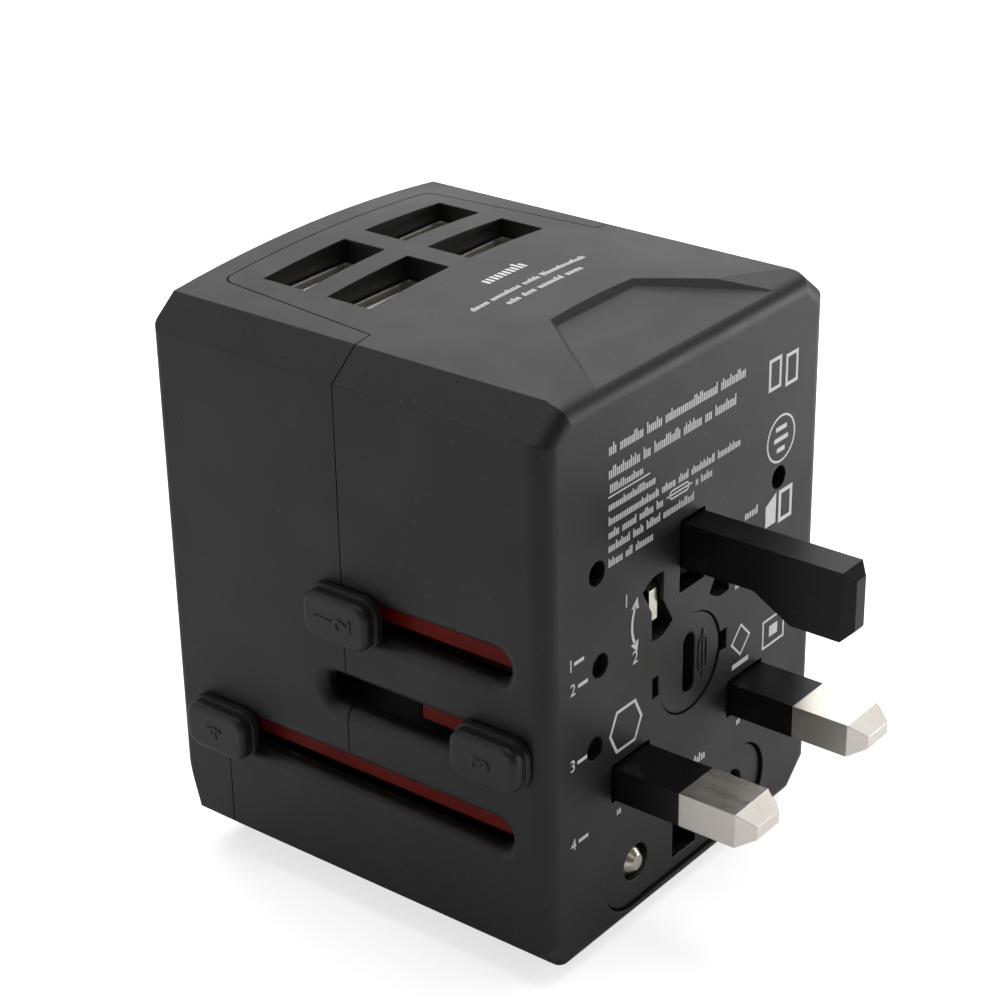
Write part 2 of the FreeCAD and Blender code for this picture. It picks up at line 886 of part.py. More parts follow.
def make_knob(plug, middle, line):
    """A moulded thumb slider in two steps, the upper one with softened edges."""
    foot = left - size.knob_lift
    rim_face = foot - size.knob_rim
    cap_face = rim_face - size.knob_cap
    half_length = size.knob_length / 2
    half_height = size.knob_height / 2

    def along_x(edge):
        spots = edge_spots(edge)
        return near(spots[0].y, spots[1].y) and near(spots[0].z, spots[1].z)

    def on_cap_face(edge):
        return all(near(spot.x, cap_face.value) for spot in edge_spots(edge))

    rim = box(
        plug + "_knob_rim", (rim_face, foot),
        (middle - half_length, middle + half_length), (line - half_height, line + half_height),
    )
    step = size.knob_step
    cap = box(
        plug + "_knob_cap", (cap_face, rim_face + 0.1),
        (middle - half_length + step, middle + half_length - step),
        (line - half_height + step, line + half_height - step),
    )
    round_rim = rounded(plug + "_rim_round", rim, size.knob_corner, along_x)
    round_cap = rounded(plug + "_cap_round", cap, size.knob_corner - step, along_x)
    soft_cap = rounded(plug + "_cap_soft", round_cap, size.knob_round, on_cap_face)
    keep(fuse(plug + "_knob", round_rim, soft_cap), plug + "_knob")


def neck(plug, middle, line, inner_x):
    """The neck that fills a slot behind its knob, and the low web from it to the carriage."""
    y_span = (middle - size.neck_half, middle + size.neck_half)
    neck_high = line - size.neck_drop
    web_high = web_top(line)
    return (
        box(
            plug + "_neck", (left - size.knob_lift, red_outer - size.red_clearance), y_span,
            (neck_high - size.neck_height, neck_high),
        ),
        box(
            plug + "_web", (inner_left + size.web_start, inner_x), y_span,
            (web_high - size.web_height, web_high),
        ),
    )


# ---------------------------------------------------------------- the square-pin plug
carriage_half = size.carriage_half
bar_low = size.pin_line - size.pin_thickness / 2 - 0.9
bar_high = size.pin_line + size.pin_thickness / 2 + 0.1
riser_inner = size.blade_half_spread + 4.1
riser_outer = riser_inner + 3.3
link_low = size.blade_line + size.blade_window_height / 2 + 0.7
link_high = earth_line + size.earth_height / 2 - 0.2
eu_arm_left = inner_left + size.arm_gap
eu_arm_right = eu_arm_left + size.arm_thickness
uk_arm_left = eu_arm_right + size.arm_spacing
uk_arm_right = uk_arm_left + size.arm_thickness


def make_square_plug():
    """Carriage, knob and pins of the square-pin plug, standing out of the plug face."""
    y_span = (uk_middle - carriage_half + 0.1, uk_middle + carriage_half)
    slot_line = size.uk_slot_line
    carriage = fuse(
        "uk_carriage_blank",
        box("uk_bar", (uk_arm_left, riser_outer), y_span, (bar_low, bar_high)),
        box("uk_arm", (uk_arm_left, uk_arm_right), y_span, (bar_low, slot_line)),
        box("uk_riser", (riser_inner, riser_outer), y_span, (bar_low, link_high)),
        box("uk_link", (-size.earth_width / 2, riser_outer), y_span, (link_low, link_high)),
        *neck("uk", uk_middle, slot_line, uk_arm_left + 0.5),
    )
    cores = []
    core_end = uk_middle + carriage_half + 0.9
    wall = size.sleeve_wall
    for side, name in ((-1, "live"), (1, "neutral")):
        middle = side * size.pin_half_spread
        x_span = (middle - size.pin_width / 2, middle + size.pin_width / 2)
        z_span = (size.pin_line - size.pin_thickness / 2, size.pin_line + size.pin_thickness / 2)
        core_x = (x_span[0] + wall, x_span[1] - wall)
        core_z = (z_span[0] + wall, z_span[1] - wall)
        tip_root = front - size.pin_reach + size.tip_length
        sleeve_end = front - size.sleeve_reach
        pin = fuse(
            "uk_%s_pin" % name,
            box(name + "_bare", x_span, (tip_root, sleeve_end), z_span),
            box(name + "_core", core_x, (sleeve_end - 0.1, core_end), core_z),
            frustum(
                name + "_tip", x_span, z_span, tip_root, front - size.pin_reach,
                size.tip_narrowing, size.tip_thinning,
            ),
        )
        keep(pin, "uk_%s_pin" % name)
        cores.append(box(name + "_core_way", core_x, (sleeve_end, core_end + 1), core_z))
        sleeve_blank = box(name + "_sleeve_blank", x_span, (sleeve_end, y_span[0]), z_span)
        bore = box(name + "_sleeve_bore", core_x, (sleeve_end - 1, y_span[0] + 1), core_z)
        keep(cut("uk_%s_sleeve" % name, sleeve_blank, bore), "uk_%s_sleeve" % name)
    keep(cut("uk_carriage", carriage, *cores), "uk_carriage")
    make_knob("uk", uk_middle, slot_line)

    half = size.earth_width / 2
    x_span = (-half, half)
    low = earth_line - size.earth_height / 2
    high = earth_line + size.earth_height / 2
    tip_root = front - size.earth_reach + size.earth_tip
    shank = box("earth_shank", x_span, (tip_root, y_span[0]), (low, high))
    tip = frustum(
        "earth_tip_block", x_span, (low, high), tip_root, front - size.earth_reach,
        size.earth_tip, size.earth_tip,
    )
    relief = prism(
        "earth_relief", "x",
        (
            (front - size.earth_ramp_reach, low - 0.5),
            (front - size.earth_ramp_reach, low),
            (front - size.earth_neck_reach, high - size.earth_neck_height),
            (y_span[0] + 1, high - size.earth_neck_height),
            (y_span[0] + 1, low - 0.5),
        ),
        (-half - 1, half + 1),
    )
    keep(cut("uk_earth_pin", fuse("earth_blank", shank, tip), relief), "uk_earth_pin")


# ---------------------------------------------------------------- the two-blade plug
def make_blade_plug():
    """Carriage, knob and the two turning blades, drawn back inside the case."""
    y_front = us_middle - carriage_half - 0.4
    y_span = (y_front, us_middle + carriage_half + 0.3)
    slot_line = size.us_slot_line
    bar_z = (size.blade_line - 5.0, web_top(slot_line))
    boss_radius = size.blade_stem_radius + size.blade_boss_wall
    pieces = [
        box("us_bar", (eu_arm_left, size.blade_half_spread), y_span, bar_z),
        *neck("us", us_middle, slot_line, eu_arm_left + 0.5),
    ]
    bores = []
    for side, name in ((-1, "left"), (1, "right")):
        middle = (side * size.blade_half_spread, size.blade_line)
        pieces.append(rod("us_boss_" + name, "y", boss_radius, middle, y_span))
        bore_radius = size.blade_stem_radius + size.stem_clearance
        bores.append(rod("us_bore_" + name, "y", bore_radius, middle, (y_front - 1, y_span[1] + 1)))
    blank = fuse("us_carriage_blank", *pieces)
    earth_way = box(
        "us_earth_way",
        (-size.earth_width / 2 - size.fit_gap, size.earth_width / 2 + size.fit_gap),
        (y_front - 1, y_span[1] + 1),
        (earth_line - size.earth_height / 2 - size.fit_gap, roof),
    )
    keep(cut("us_carriage", blank, *bores, earth_way), "us_carriage")
    make_knob("us", us_middle, slot_line)

    for side, name in ((-1, "left"), (1, "right")):
        middle = side * size.blade_half_spread
        half_thick = size.blade_thickness / 2
        half_height = size.blade_height / 2
        tip_start = front + size.blade_inset
        shoulder = y_front - size.fit_gap
        nose = size.blade_nose
        strip = prism(
            "us_blade_strip_" + name, "x",
            (
                (tip_start, size.blade_line - half_height + nose),
                (tip_start + nose, size.blade_line - half_height),
                (shoulder, size.blade_line - half_height),
                (shoulder, size.blade_line + half_height),
                (tip_start + nose, size.blade_line + half_height),
                (tip_start, size.blade_line + half_height - nose),
            ),
            (middle - half_thick, middle + half_thick),
        )
        stem = rod(
            "us_stem_" + name, "y", size.blade_stem_radius, (middle, size.blade_line),
            (shoulder - 0.8, y_span[1] + 0.4),
        )
        keep(fuse("us_blade_" + name, strip, stem), "us_blade_" + name)


# ---------------------------------------------------------------- the round-pin plug
def make_round_plug():
    """Sliding face block, carriage, knob, pins and sleeves of the round-pin plug."""
    line = round_line
    y_span = (eu_middle - 2.1, eu_middle + 2.1)
    bar_z = (line - 2.6, line + 2.6)
    slot_line = size.eu_slot_line
    arm_top = web_top(slot_line)
    carriage = fuse(
        "eu_carriage_blank",
        box("eu_bar", (eu_arm_left, size.round_half_spread + 3.4), y_span, bar_z),
        box("eu_arm", (eu_arm_left, eu_arm_right), y_span, (bar_z[0], arm_top)),
        *neck("eu", eu_middle, slot_line, eu_arm_left + 0.5),
    )
    root_radius = size.round_radius - size.round_sleeve_wall
    roots = []
    for side, name in ((-1, "left"), (1, "right")):
        middle = (side * size.round_half_spread, line)
        tip_face = front + size.round_inset
        dome = size.round_dome
        bare_end = tip_face + size.round_bare
        shank = rod("eu_shank_" + name, "y", size.round_radius, middle, (tip_face + dome, bare_end))
        tip = cone(
            "eu_tip_" + name, "y", (size.round_radius - size.round_tip_inset, size.round_radius), middle,
            (tip_face, tip_face + dome),
        )
        root = rod("eu_root_" + name, "y", root_radius, middle, (bare_end - 0.1, y_span[1] - 0.6))
        keep(fuse("eu_pin_" + name, shank, tip, root), "eu_pin_" + name)
        sleeve = rod(
            "eu_sleeve_blank_" + name, "y", size.round_radius, middle, (bare_end, y_span[0])
        )
        bore = rod("eu_sleeve_bore_" + name, "y", root_radius, middle, (bare_end - 1, y_span[0] + 1))
        keep(cut("eu_sleeve_" + name, sleeve, bore), "eu_sleeve_" + name)
        roots.append(rod(
            "eu_root_way_" + name, "y", root_radius, middle, (y_span[0] - 1, y_span[1] - 0.6)
        ))
    keep(cut("eu_carriage", carriage, *roots), "eu_carriage")
    make_knob("eu", eu_middle, slot_line)

    block_front = front + size.block_inset
    blank = stadium("eu_block_blank", 0, (block_front, block_front + size.block_length))
    ways = [
        rod(
            "eu_way_" + name, "y", size.round_hole_radius, (side * size.round_half_spread, line),
            (front - 1, block_front + size.block_length + 1),
        )
        for side, name in ((-1, "left"), (1, "right"))
    ]
    well = box(
        "eu_well", (-size.well_half, size.well_half), (front - 1, block_front + size.well_depth),
        (line - size.well_drop, line - size.well_drop + size.well_height),
    )
    keep(cut("eu_block", blank, well, *ways), "eu_block")


# ---------------------------------------------------------------- fuse, cap and tube
def make_fuse():
    """A cartridge fuse in its tube behind a coin-slotted bayonet cap."""
    line = size.fuse_line
    cap_front = front + size.cap_inset
    cap_back = front + size.cap_depth
    disc = rod("cap_disc", "y", size.cap_radius, (0, line), (cap_front, cap_back))
    lug_span = (inner_front + 0.15, cap_back)
    lugs = common(
        "cap_lugs",
        rod("cap_lug_disc", "y", size.cap_lug_radius, (0, line), lug_span),
        box(
            "cap_lug_box", (-size.cap_lug_half, size.cap_lug_half), (front, cap_back + 1),
            (line - size.cap_lug_radius - 1, line + size.cap_lug_radius + 1),
        ),
    )
    spring_pocket = rod(
        "cap_pocket", "y", size.fuse_radius + 0.2, (0, line), (cap_back - 0.8, cap_back + 1)
    )
    floor = cap_front + size.cap_slot_depth
    coin_slot = [
        box(
            "coin_slot_box", (-size.cap_slot_radius, size.cap_slot_radius), (front - 1, floor),
            (line - size.cap_slot_half, line + size.cap_slot_half),
        ),
        rod("coin_slot_low", "y", size.cap_slot_radius, (0, line - size.cap_slot_half), (front - 1, floor)),
        rod("coin_slot_high", "y", size.cap_slot_radius, (0, line + size.cap_slot_half), (front - 1, floor)),
    ]
    keep(cut("fuse_cap", fuse("cap_blank", disc, lugs), spring_pocket, *coin_slot), "fuse_cap")

    tube_inner = size.fuse_radius + size.fuse_play
    tube_outer = tube_inner + size.fuse_tube_wall
    tube_start = cap_back + 0.3
    fuse_start = tube_start + 0.6
    fuse_end = fuse_start + size.fuse_length
    spring_end = fuse_end + size.fuse_spring_room
    tube_end = spring_end + 1.0
    tube = cut(
        "fuse_tube",
        rod("tube_outside", "y", tube_outer, (0, line), (tube_start, tube_end)),
        rod("tube_inside", "y", tube_inner, (0, line), (tube_start - 1, spring_end)),
    )
    keep(tube, "fuse_tube")
    glass = rod(
        "fuse_glass", "y", size.fuse_radius - size.fuse_can_wall, (0, line),
        (fuse_start + 0.5, fuse_end - 0.5),
    )
    keep(glass, "fuse_glass")
    ends = []
    for name, y_span, hollow in (
        ("near", (fuse_start, fuse_start + size.fuse_end_length), 1),
        ("far", (fuse_end - size.fuse_end_length, fuse_end), -1),
    ):
        can = rod("fuse_can_" + name, "y", size.fuse_radius, (0, line), y_span)
        bore = rod(
            "fuse_can_bore_" + name, "y", size.fuse_radius - size.fuse_can_wall, (0, line),
            (fuse_start + 0.5, fuse_end - 0.5),
        )
        ends.append(cut("fuse_end_" + name, can, bore))
    keep(group("fuse_end_caps", *ends), "fuse_end_caps")
    turns = []
    for step in range(3):
        ring = doc.addObject("Part::Torus", "fuse_spring_turn_%d" % step)
        ring.setExpression("Radius1", (size.fuse_radius - 1.5 * size.fuse_spring_wire).formula)
        ring.setExpression("Radius2", size.fuse_spring_wire.formula)
        place(ring, 0, fuse_end + 0.4 + size.fuse_spring_pitch * step, line, turn=TURNS["y"])
        turns.append(ring)
    keep(group("fuse_spring", *turns), "fuse_spring")


# ---------------------------------------------------------------- charging ports and boards
def make_ports():
    """Metal port shells with their contact tongues, on a small board under the roof."""
    top = roof - size.port_sink
    bottom = top - size.shell_length
    contacts = []
    for number, (x_span, y_span) in enumerate(port_spans(), start=1):
        outer_x = (x_span[0] + size.port_play, x_span[1] - size.port_play)
        outer_y = (y_span[0] + size.port_play, y_span[1] - size.port_play)
        wall = size.shell_wall
        inner_x = (outer_x[0] + wall, outer_x[1] - wall)
        inner_y = (outer_y[0] + wall, outer_y[1] - wall)
        name = "usb_shell_%d" % number
        blank = box(name + "_blank", outer_x, outer_y, (bottom, top))
        hollow = box(name + "_hollow", inner_x, inner_y, (bottom + wall, top + 1))
        keep(cut(name, blank, hollow), name)
        tongue_x = (inner_x[0] + 0.6, inner_x[1] - 0.6)
        tongue_y = (inner_y[1] - 0.75 - size.port_tongue_height, inner_y[1] - 0.75)
        tongue_top = roof - size.port_tongue_drop
        tongue = fuse(
            "usb_tongue_%d" % number,
            box("tongue_%d_blade" % number, tongue_x, tongue_y, (bottom + wall, tongue_top)),
            box(
                "tongue_%d_foot" % number, (inner_x[0], inner_x[1]), (inner_y[0], inner_y[1]),
                (bottom + wall, bottom + wall + 1.6),
            ),
        )
        keep(tongue, "usb_tongue_%d" % number)
        pitch = (tongue_x[1] - tongue_x[0]) / 4.6
        for strip in range(4):
            middle = tongue_x[0] + pitch * (0.8 + strip)
            contacts.append(box(
                "contact_%d_%d" % (number, strip), (middle - 0.5, middle + 0.5),
                (tongue_y[0] - 0.2, tongue_y[0]), (bottom + wall + 1.6, tongue_top - 0.6),
            ))
    keep(group("usb_contacts", *contacts), "usb_contacts")

    board_top = bottom - 0.1
    board_low = board_top - size.board_thickness
    usb_board = box(
        "usb_board", (inner_left + size.usb_board_margin, inner_right - size.usb_board_margin),
        (front + size.seam_reach + 2, inner_back - 2.3), (board_low, board_top),
    )
    keep(usb_board, "usb_board")

    power_top = roof - size.power_board_drop
    power_low = power_top - size.board_thickness
    keep(
        box(
            "power_board", (inner_left + size.power_board_margin, inner_right - size.power_board_margin),
            (inner_front + 0.8, front + size.seam_reach + 1), (power_low, power_top),
        ),
        "power_board",
    )
    core_left = inner_left + size.core_margin
    core_front = inner_front + 5
    core_x = (core_left, core_left + size.core_width)
    core_y = (core_front, core_front + size.core_depth)
    core_z = (power_top, power_top + size.core_height)
    window_x = (core_x[0] + size.core_leg, core_x[1] - size.core_leg)
    window_z = (core_z[0] + size.core_yoke, core_z[1] - size.core_yoke)
    window = box("core_window", window_x, (core_y[0] - 1, core_y[1] + 1), window_z)
    keep(cut("transformer_core", box("core_block", core_x, core_y, core_z), window), "transformer_core")
    keep(
        box(
            "transformer_coil", window_x,
            (core_y[0] - size.coil_overhang, core_y[1] + size.coil_overhang), window_z,
        ),
        "transformer_coil",
    )
    can_radius = size.mains_can_radius
    can_front = inner_front + 4
    can_middle = (inner_left + 27, power_top + can_radius)
    keep(
        rod("mains_capacitor", "y", can_radius, can_middle, (can_front, can_front + size.mains_can_length)),
        "mains_capacitor",
    )
    small_cans = [
        rod(
            "output_can_%d" % number, "z", size.output_can_radius,
            (inner_right - 9, inner_front + 7 + size.output_can_pitch * number),
            (power_top, power_top + size.output_can_height),
        )
        for number in range(2)
    ]
    keep(group("output_capacitors", *small_cans), "output_capacitors")


# ---------------------------------------------------------------- socket side
def mouth_tools(y_span):
    """The combined socket mouths: square, round and flat pins share one outline a side."""
    line = size.socket_line
    tools = []
    for side, label in ((-1, "left"), (1, "right")):
        limits = (side * size.mouth_inner, side * size.mouth_outer)
        x_span = limits if side > 0 else (limits[1], limits[0])
        tools.append(box(
            "mouth_%s_square" % label, x_span, y_span,
            (line - size.mouth_half, line + size.mouth_half),
        ))
        tools.append(rod(
            "mouth_%s_round" % label, "y", size.mouth_round_radius,
            (side * size.round_half_spread, line), y_span,
        ))
        middle = side * size.blade_half_spread
        half = size.mouth_blade_width / 2
        tools.append(box(
            "mouth_%s_flat" % label, (middle - half, middle + half), y_span,
            (line - size.mouth_blade_half, line + size.mouth_blade_half),
        ))
    return tools


def make_socket():
    """Socket face with its combined mouths, and the contacts and rails behind it."""
    flange = size.socket_flange
    half = size.socket_face_half
    plate = rounded(
        "socket_plate_round",
        box(
            "socket_plate", (-half, half), (inner_back - 0.1, back - size.socket_face_inset),
            (size.socket_face_low, size.socket_face_high),
        ),
        size.socket_face_round, along_y,
    )
    flange_plate = box(
        "socket_flange_plate", (-half - flange, half + flange),
        (inner_back - size.socket_flange_thickness, inner_back - 0.05),
        (size.socket_face_low - flange, size.socket_face_high - flange),
    )
    through = (inner_back - 3, back + 1)
    earth_low = size.socket_line + size.earth_rise - size.mouth_earth_height / 2
    tools = mouth_tools(through)
    tools.append(box(
        "mouth_earth", (-size.mouth_earth_half, size.mouth_earth_half), through,
        (earth_low, earth_low + size.mouth_earth_height),
    ))
    keep(cut("socket_face", fuse("socket_face_blank", plate, flange_plate), *tools), "socket_face")

    contact_far = inner_back - size.socket_flange_thickness - size.fit_gap
    contact_near = contact_far - size.contact_length
    thick = size.contact_thickness
    clear = size.mouth_half + 0.1
    for side, label in ((-1, "live"), (1, "neutral")):
        limits = (side * (size.mouth_inner + 0.2), side * (size.mouth_outer - 0.3))
        x_span = limits if side > 0 else (limits[1], limits[0])
        line = size.socket_line
        clip = fuse(
            label + "_contact",
            box(
                label + "_lower_leaf", x_span, (contact_near, contact_far),
                (line - clear - thick, line - clear),
            ),
            box(
                label + "_upper_leaf", x_span, (contact_near, contact_far),
                (line + clear, line + clear + thick),
            ),
            box(
                label + "_heel", x_span, (contact_near, contact_near + thick),
                (line - clear - thick, line + clear + thick),
            ),
        )
        keep(clip, label + "_contact")
        rail_x = side * (size.mouth_inner + 0.5)
        rail_span = (rail_x, rail_x + size.rail_thickness)
        rail = box(
            label + "_rail_bar", rail_span, (front + 6, contact_near),
            (size.fuse_line - 3.8, size.fuse_line + 2.2),
        )
        tab = box(
            label + "_rail_tab", rail_span, (contact_near - 2, contact_near),
            (line - clear, size.fuse_line - 3.7),
        )
        keep(fuse(label + "_rail_solid", rail, tab), label + "_rail")


# ---------------------------------------------------------------- inner plates and red backing
def make_inner_plates():
    """Two guide plates that keep the three plugs apart, and the red strips behind the slots."""
    plate_low = round_line + size.block_radius + 0.7
    guide_back = back - size.heel_depth - size.back_wall - 0.4
    keep(
        box(
            "lower_guide", (uk_arm_left - 0.1, inner_right - 0.1), (inner_front + 0.3, guide_back),
            (plate_low, plate_low + size.plate_thickness),
        ),
        "lower_guide",
    )
    upper_low = link_high + 0.5
    keep(
        box(
            "upper_guide", (-size.screw_left_x + 3.4, size.screw_right_x - 2.8),
            (inner_front + 0.3, front + size.seam_reach + 3), (upper_low, upper_low + size.plate_thickness),
        ),
        "upper_guide",
    )
    strip_x = (red_outer, red_outer + size.red_thickness)
    red_front = inner_front + size.fit_gap / 2
    upright_y = (red_front, red_front + size.red_thickness)
    upright = box(
        "red_upright", strip_x, upright_y,
        (web_top(size.eu_slot_line) + size.red_web_gap, size.us_slot_line + size.red_rise),
    )
    fingers = []
    for plug, line, reach in (
        ("us", size.us_slot_line, size.us_slot_rear + 1),
        ("uk", size.uk_slot_line, size.uk_slot_rear * 0.6),
        ("eu", size.eu_slot_line, size.eu_slot_rear + 1),
    ):
        fingers.append(box(
            plug + "_red_finger", strip_x, (upright_y[0], front + reach),
            (web_top(line) + size.red_web_gap, line + size.red_rise),
        ))
    keep(fuse("red_backing", upright, *fingers), "red_backing")


make_housings()
make_square_plug()
make_blade_plug()
make_round_plug()
make_fuse()
make_ports()
make_socket()
make_inner_plates()
doc.recompute()

faults = []
for item in doc.Objects:
    if "Invalid" in item.State or "Error" in item.State:
        faults.append("%s: %s" % (item.Name, item.State))
for part in kept_parts:
    shape = part.Shape
    if shape.isNull() or not shape.isValid() or not shape.Solids:
        faults.append("%s has no valid solid" % part.Label)
if faults:
    raise RuntimeError("; ".join(faults))

os.makedirs("parts", exist_ok=True)
for part in kept_parts:
    part.Shape.exportStep("parts/%s.step" % part.Label)
    print("%-22s solids %d  volume %.1f mm3" % (part.Label, len(part.Shape.Solids), part.Shape.Volume))
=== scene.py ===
import math
import random

import bmesh
import bpy
from mathutils import Matrix, Quaternion, Vector
from mathutils.bvhtree import BVHTree


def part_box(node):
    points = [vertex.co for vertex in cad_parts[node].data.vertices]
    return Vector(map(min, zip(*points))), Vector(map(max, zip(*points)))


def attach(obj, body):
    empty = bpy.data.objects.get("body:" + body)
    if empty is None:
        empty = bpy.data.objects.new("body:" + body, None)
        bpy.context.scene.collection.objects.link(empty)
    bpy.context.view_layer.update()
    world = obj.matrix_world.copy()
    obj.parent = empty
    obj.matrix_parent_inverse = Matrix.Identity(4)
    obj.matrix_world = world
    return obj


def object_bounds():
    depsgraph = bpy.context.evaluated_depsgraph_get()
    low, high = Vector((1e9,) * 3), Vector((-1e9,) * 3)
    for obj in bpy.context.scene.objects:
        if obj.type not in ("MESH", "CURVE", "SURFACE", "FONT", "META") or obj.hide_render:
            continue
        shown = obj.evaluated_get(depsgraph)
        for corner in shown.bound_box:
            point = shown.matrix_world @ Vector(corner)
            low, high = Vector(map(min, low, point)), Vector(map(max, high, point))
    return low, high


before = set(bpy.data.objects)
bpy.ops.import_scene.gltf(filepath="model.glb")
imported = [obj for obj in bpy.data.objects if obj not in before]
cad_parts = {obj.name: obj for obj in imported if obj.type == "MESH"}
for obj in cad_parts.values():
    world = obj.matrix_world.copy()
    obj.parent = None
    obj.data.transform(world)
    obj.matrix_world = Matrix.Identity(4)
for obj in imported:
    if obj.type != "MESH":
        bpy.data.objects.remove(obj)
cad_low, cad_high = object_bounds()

MM = 0.001

# ------------------------------------------------------------------------------------------------
# Case halves. Two thin shells moulded in black polycarbonate, spark-textured all over. The plug-side
# half carries the roof round the charging ports, and the cover behind it closes the other half.
# Two long screws pull them together, which leaves a hairline seam.


def add_node(tree, kind, feeds=None, **settings):
    """A shader node with its settings, and its sockets fed by numbers, colours or other sockets."""
    node = tree.nodes.new(kind)
    for name, value in settings.items():
        setattr(node, name, value)
    for name, value in (feeds or {}).items():
        if isinstance(value, bpy.types.NodeSocket):
            tree.links.new(value, node.inputs[name])
        else:
            node.inputs[name].default_value = value
    return node


def calculate(tree, operation, first, second=0.0, clamp=False):
    """One arithmetic step on a value."""
    feeds = {0: first, 1: second}
    step = add_node(tree, "ShaderNodeMath", feeds, operation=operation, use_clamp=clamp)
    return step.outputs["Value"]


def stretch(tree, value, low, high, start=0.0, end=1.0):
    """A value from start to end, carried over to low to high."""
    feeds = {"Value": value, "From Min": start, "From Max": end, "To Min": low, "To Max": high}
    return add_node(tree, "ShaderNodeMapRange", feeds).outputs["Result"]


# where the colour mixer takes its share and its two colours, and where it gives the result
MIXER_SHARE = 0
MIXER_FIRST = 6
MIXER_SECOND = 7
MIXER_RESULT = 2


def mix_colours(tree, share, first, second):
    """The first colour, turning into the second as the share goes from 0 to 1."""
    mixer = add_node(tree, "ShaderNodeMix", data_type="RGBA")
    for place, value in ((MIXER_SHARE, share), (MIXER_FIRST, first), (MIXER_SECOND, second)):
        if isinstance(value, bpy.types.NodeSocket):
            tree.links.new(value, mixer.inputs[place])
        elif place == MIXER_SHARE:
            mixer.inputs[place].default_value = value
        else:
            mixer.inputs[place].default_value = (*value, 1.0)
    return mixer.outputs[MIXER_RESULT]


def start_group(name, numbers, results):
    """An empty node group with number inputs and the named outputs."""
    group = bpy.data.node_groups.new(name, "ShaderNodeTree")
    for label, value in numbers:
        socket = group.interface.new_socket(label, in_out="INPUT", socket_type="NodeSocketFloat")
        socket.default_value = value
    for label, kind in results:
        group.interface.new_socket(label, in_out="OUTPUT", socket_type=kind)
    return group, group.nodes.new("NodeGroupInput"), group.nodes.new("NodeGroupOutput")


# grain scales are per metre, and relief depths and edge roundings are in metres
GRAIN_FINENESS = 3200.0
CELL_SHARE = 0.45


def make_moulded_grain():
    """The fine spark-eroded texture of a mould, and the faint cloudiness of the plastic under it."""
    group, entry, result = start_group(
        "moulded_grain", [("Fineness", GRAIN_FINENESS), ("Clouds", 60.0)],
        [("Height", "NodeSocketFloat"), ("Cloud", "NodeSocketFloat")])
    place = add_node(group, "ShaderNodeTexCoord").outputs["Object"]
    pits = add_node(group, "ShaderNodeTexNoise",
                    {"Vector": place, "Scale": entry.outputs["Fineness"], "Detail": 3.0, "Roughness": 0.65})
    cells = add_node(group, "ShaderNodeTexVoronoi",
                     {"Vector": place, "Scale": entry.outputs["Fineness"]}, feature="SMOOTH_F1")
    low = calculate(group, "MULTIPLY", cells.outputs["Distance"], CELL_SHARE)
    group.links.new(calculate(group, "ADD", pits.outputs["Fac"], low), result.inputs["Height"])
    clouds = add_node(group, "ShaderNodeTexNoise",
                      {"Vector": place, "Scale": entry.outputs["Clouds"], "Detail": 5.0, "Roughness": 0.6})
    cloud = stretch(group, clouds.outputs["Fac"], 0.0, 1.0, start=0.3, end=0.7)
    group.links.new(cloud, result.inputs["Cloud"])
    return group


def make_rubbed_edges():
    """Where an edge is: its tiny rounding as a normal, and a mask that fades out beside it."""
    group, entry, result = start_group(
        "rubbed_edges", [("Radius", 0.0002), ("Spread", 6.0)],
        [("Normal", "NodeSocketVector"), ("Edge", "NodeSocketFloat")])
    rounding = add_node(group, "ShaderNodeBevel", {"Radius": entry.outputs["Radius"]}, samples=6)
    plain = add_node(group, "ShaderNodeNewGeometry").outputs["Normal"]
    both = add_node(group, "ShaderNodeVectorMath", {0: rounding.outputs["Normal"], 1: plain},
                    operation="DOT_PRODUCT")
    turned = calculate(group, "SUBTRACT", 1.0, both.outputs["Value"])
    spread = calculate(group, "MULTIPLY", turned, entry.outputs["Spread"], clamp=True)
    place = add_node(group, "ShaderNodeTexCoord").outputs["Object"]
    patches = add_node(group, "ShaderNodeTexNoise", {"Vector": place, "Scale": 240.0, "Detail": 4.0})
    uneven = stretch(group, patches.outputs["Fac"], 0.35, 1.0, start=0.35, end=0.65)
    group.links.new(calculate(group, "MULTIPLY", spread, uneven), result.inputs["Edge"])
    group.links.new(rounding.outputs["Normal"], result.inputs["Normal"])
    return group


def make_handling_marks():
    """Faint smears and specks that fingers leave on a surface, as a mask."""
    group, entry, result = start_group(
        "handling_marks", [("Size", 90.0), ("Specks", 2200.0)],
        [("Smear", "NodeSocketFloat"), ("Speck", "NodeSocketFloat")])
    place = add_node(group, "ShaderNodeTexCoord").outputs["Object"]
    smears = add_node(group, "ShaderNodeTexNoise",
                      {"Vector": place, "Scale": entry.outputs["Size"], "Detail": 6.0, "Distortion": 0.8})
    smear = stretch(group, smears.outputs["Fac"], 0.0, 1.0, start=0.42, end=0.68)
    group.links.new(smear, result.inputs["Smear"])
    specks = add_node(group, "ShaderNodeTexNoise",
                      {"Vector": place, "Scale": entry.outputs["Specks"], "Detail": 1.0})
    speck = stretch(group, specks.outputs["Fac"], 0.0, 1.0, start=0.72, end=0.80)
    group.links.new(speck, result.inputs["Speck"])
    return group


moulded_grain = make_moulded_grain()
rubbed_edges = make_rubbed_edges()
handling_marks = make_handling_marks()


def use_group(tree, group, numbers):
    """Place a node group in a material with its own values."""
    node = tree.nodes.new("ShaderNodeGroup")
    node.node_tree = group
    for name, value in numbers.items():
        node.inputs[name].default_value = value
    return node


def start_material(name):
    """A new material, its node tree and its surface shader."""
    material = bpy.data.materials.new(name)
    material.use_nodes = True
    tree = material.node_tree
    return material, tree, tree.nodes["Principled BSDF"]


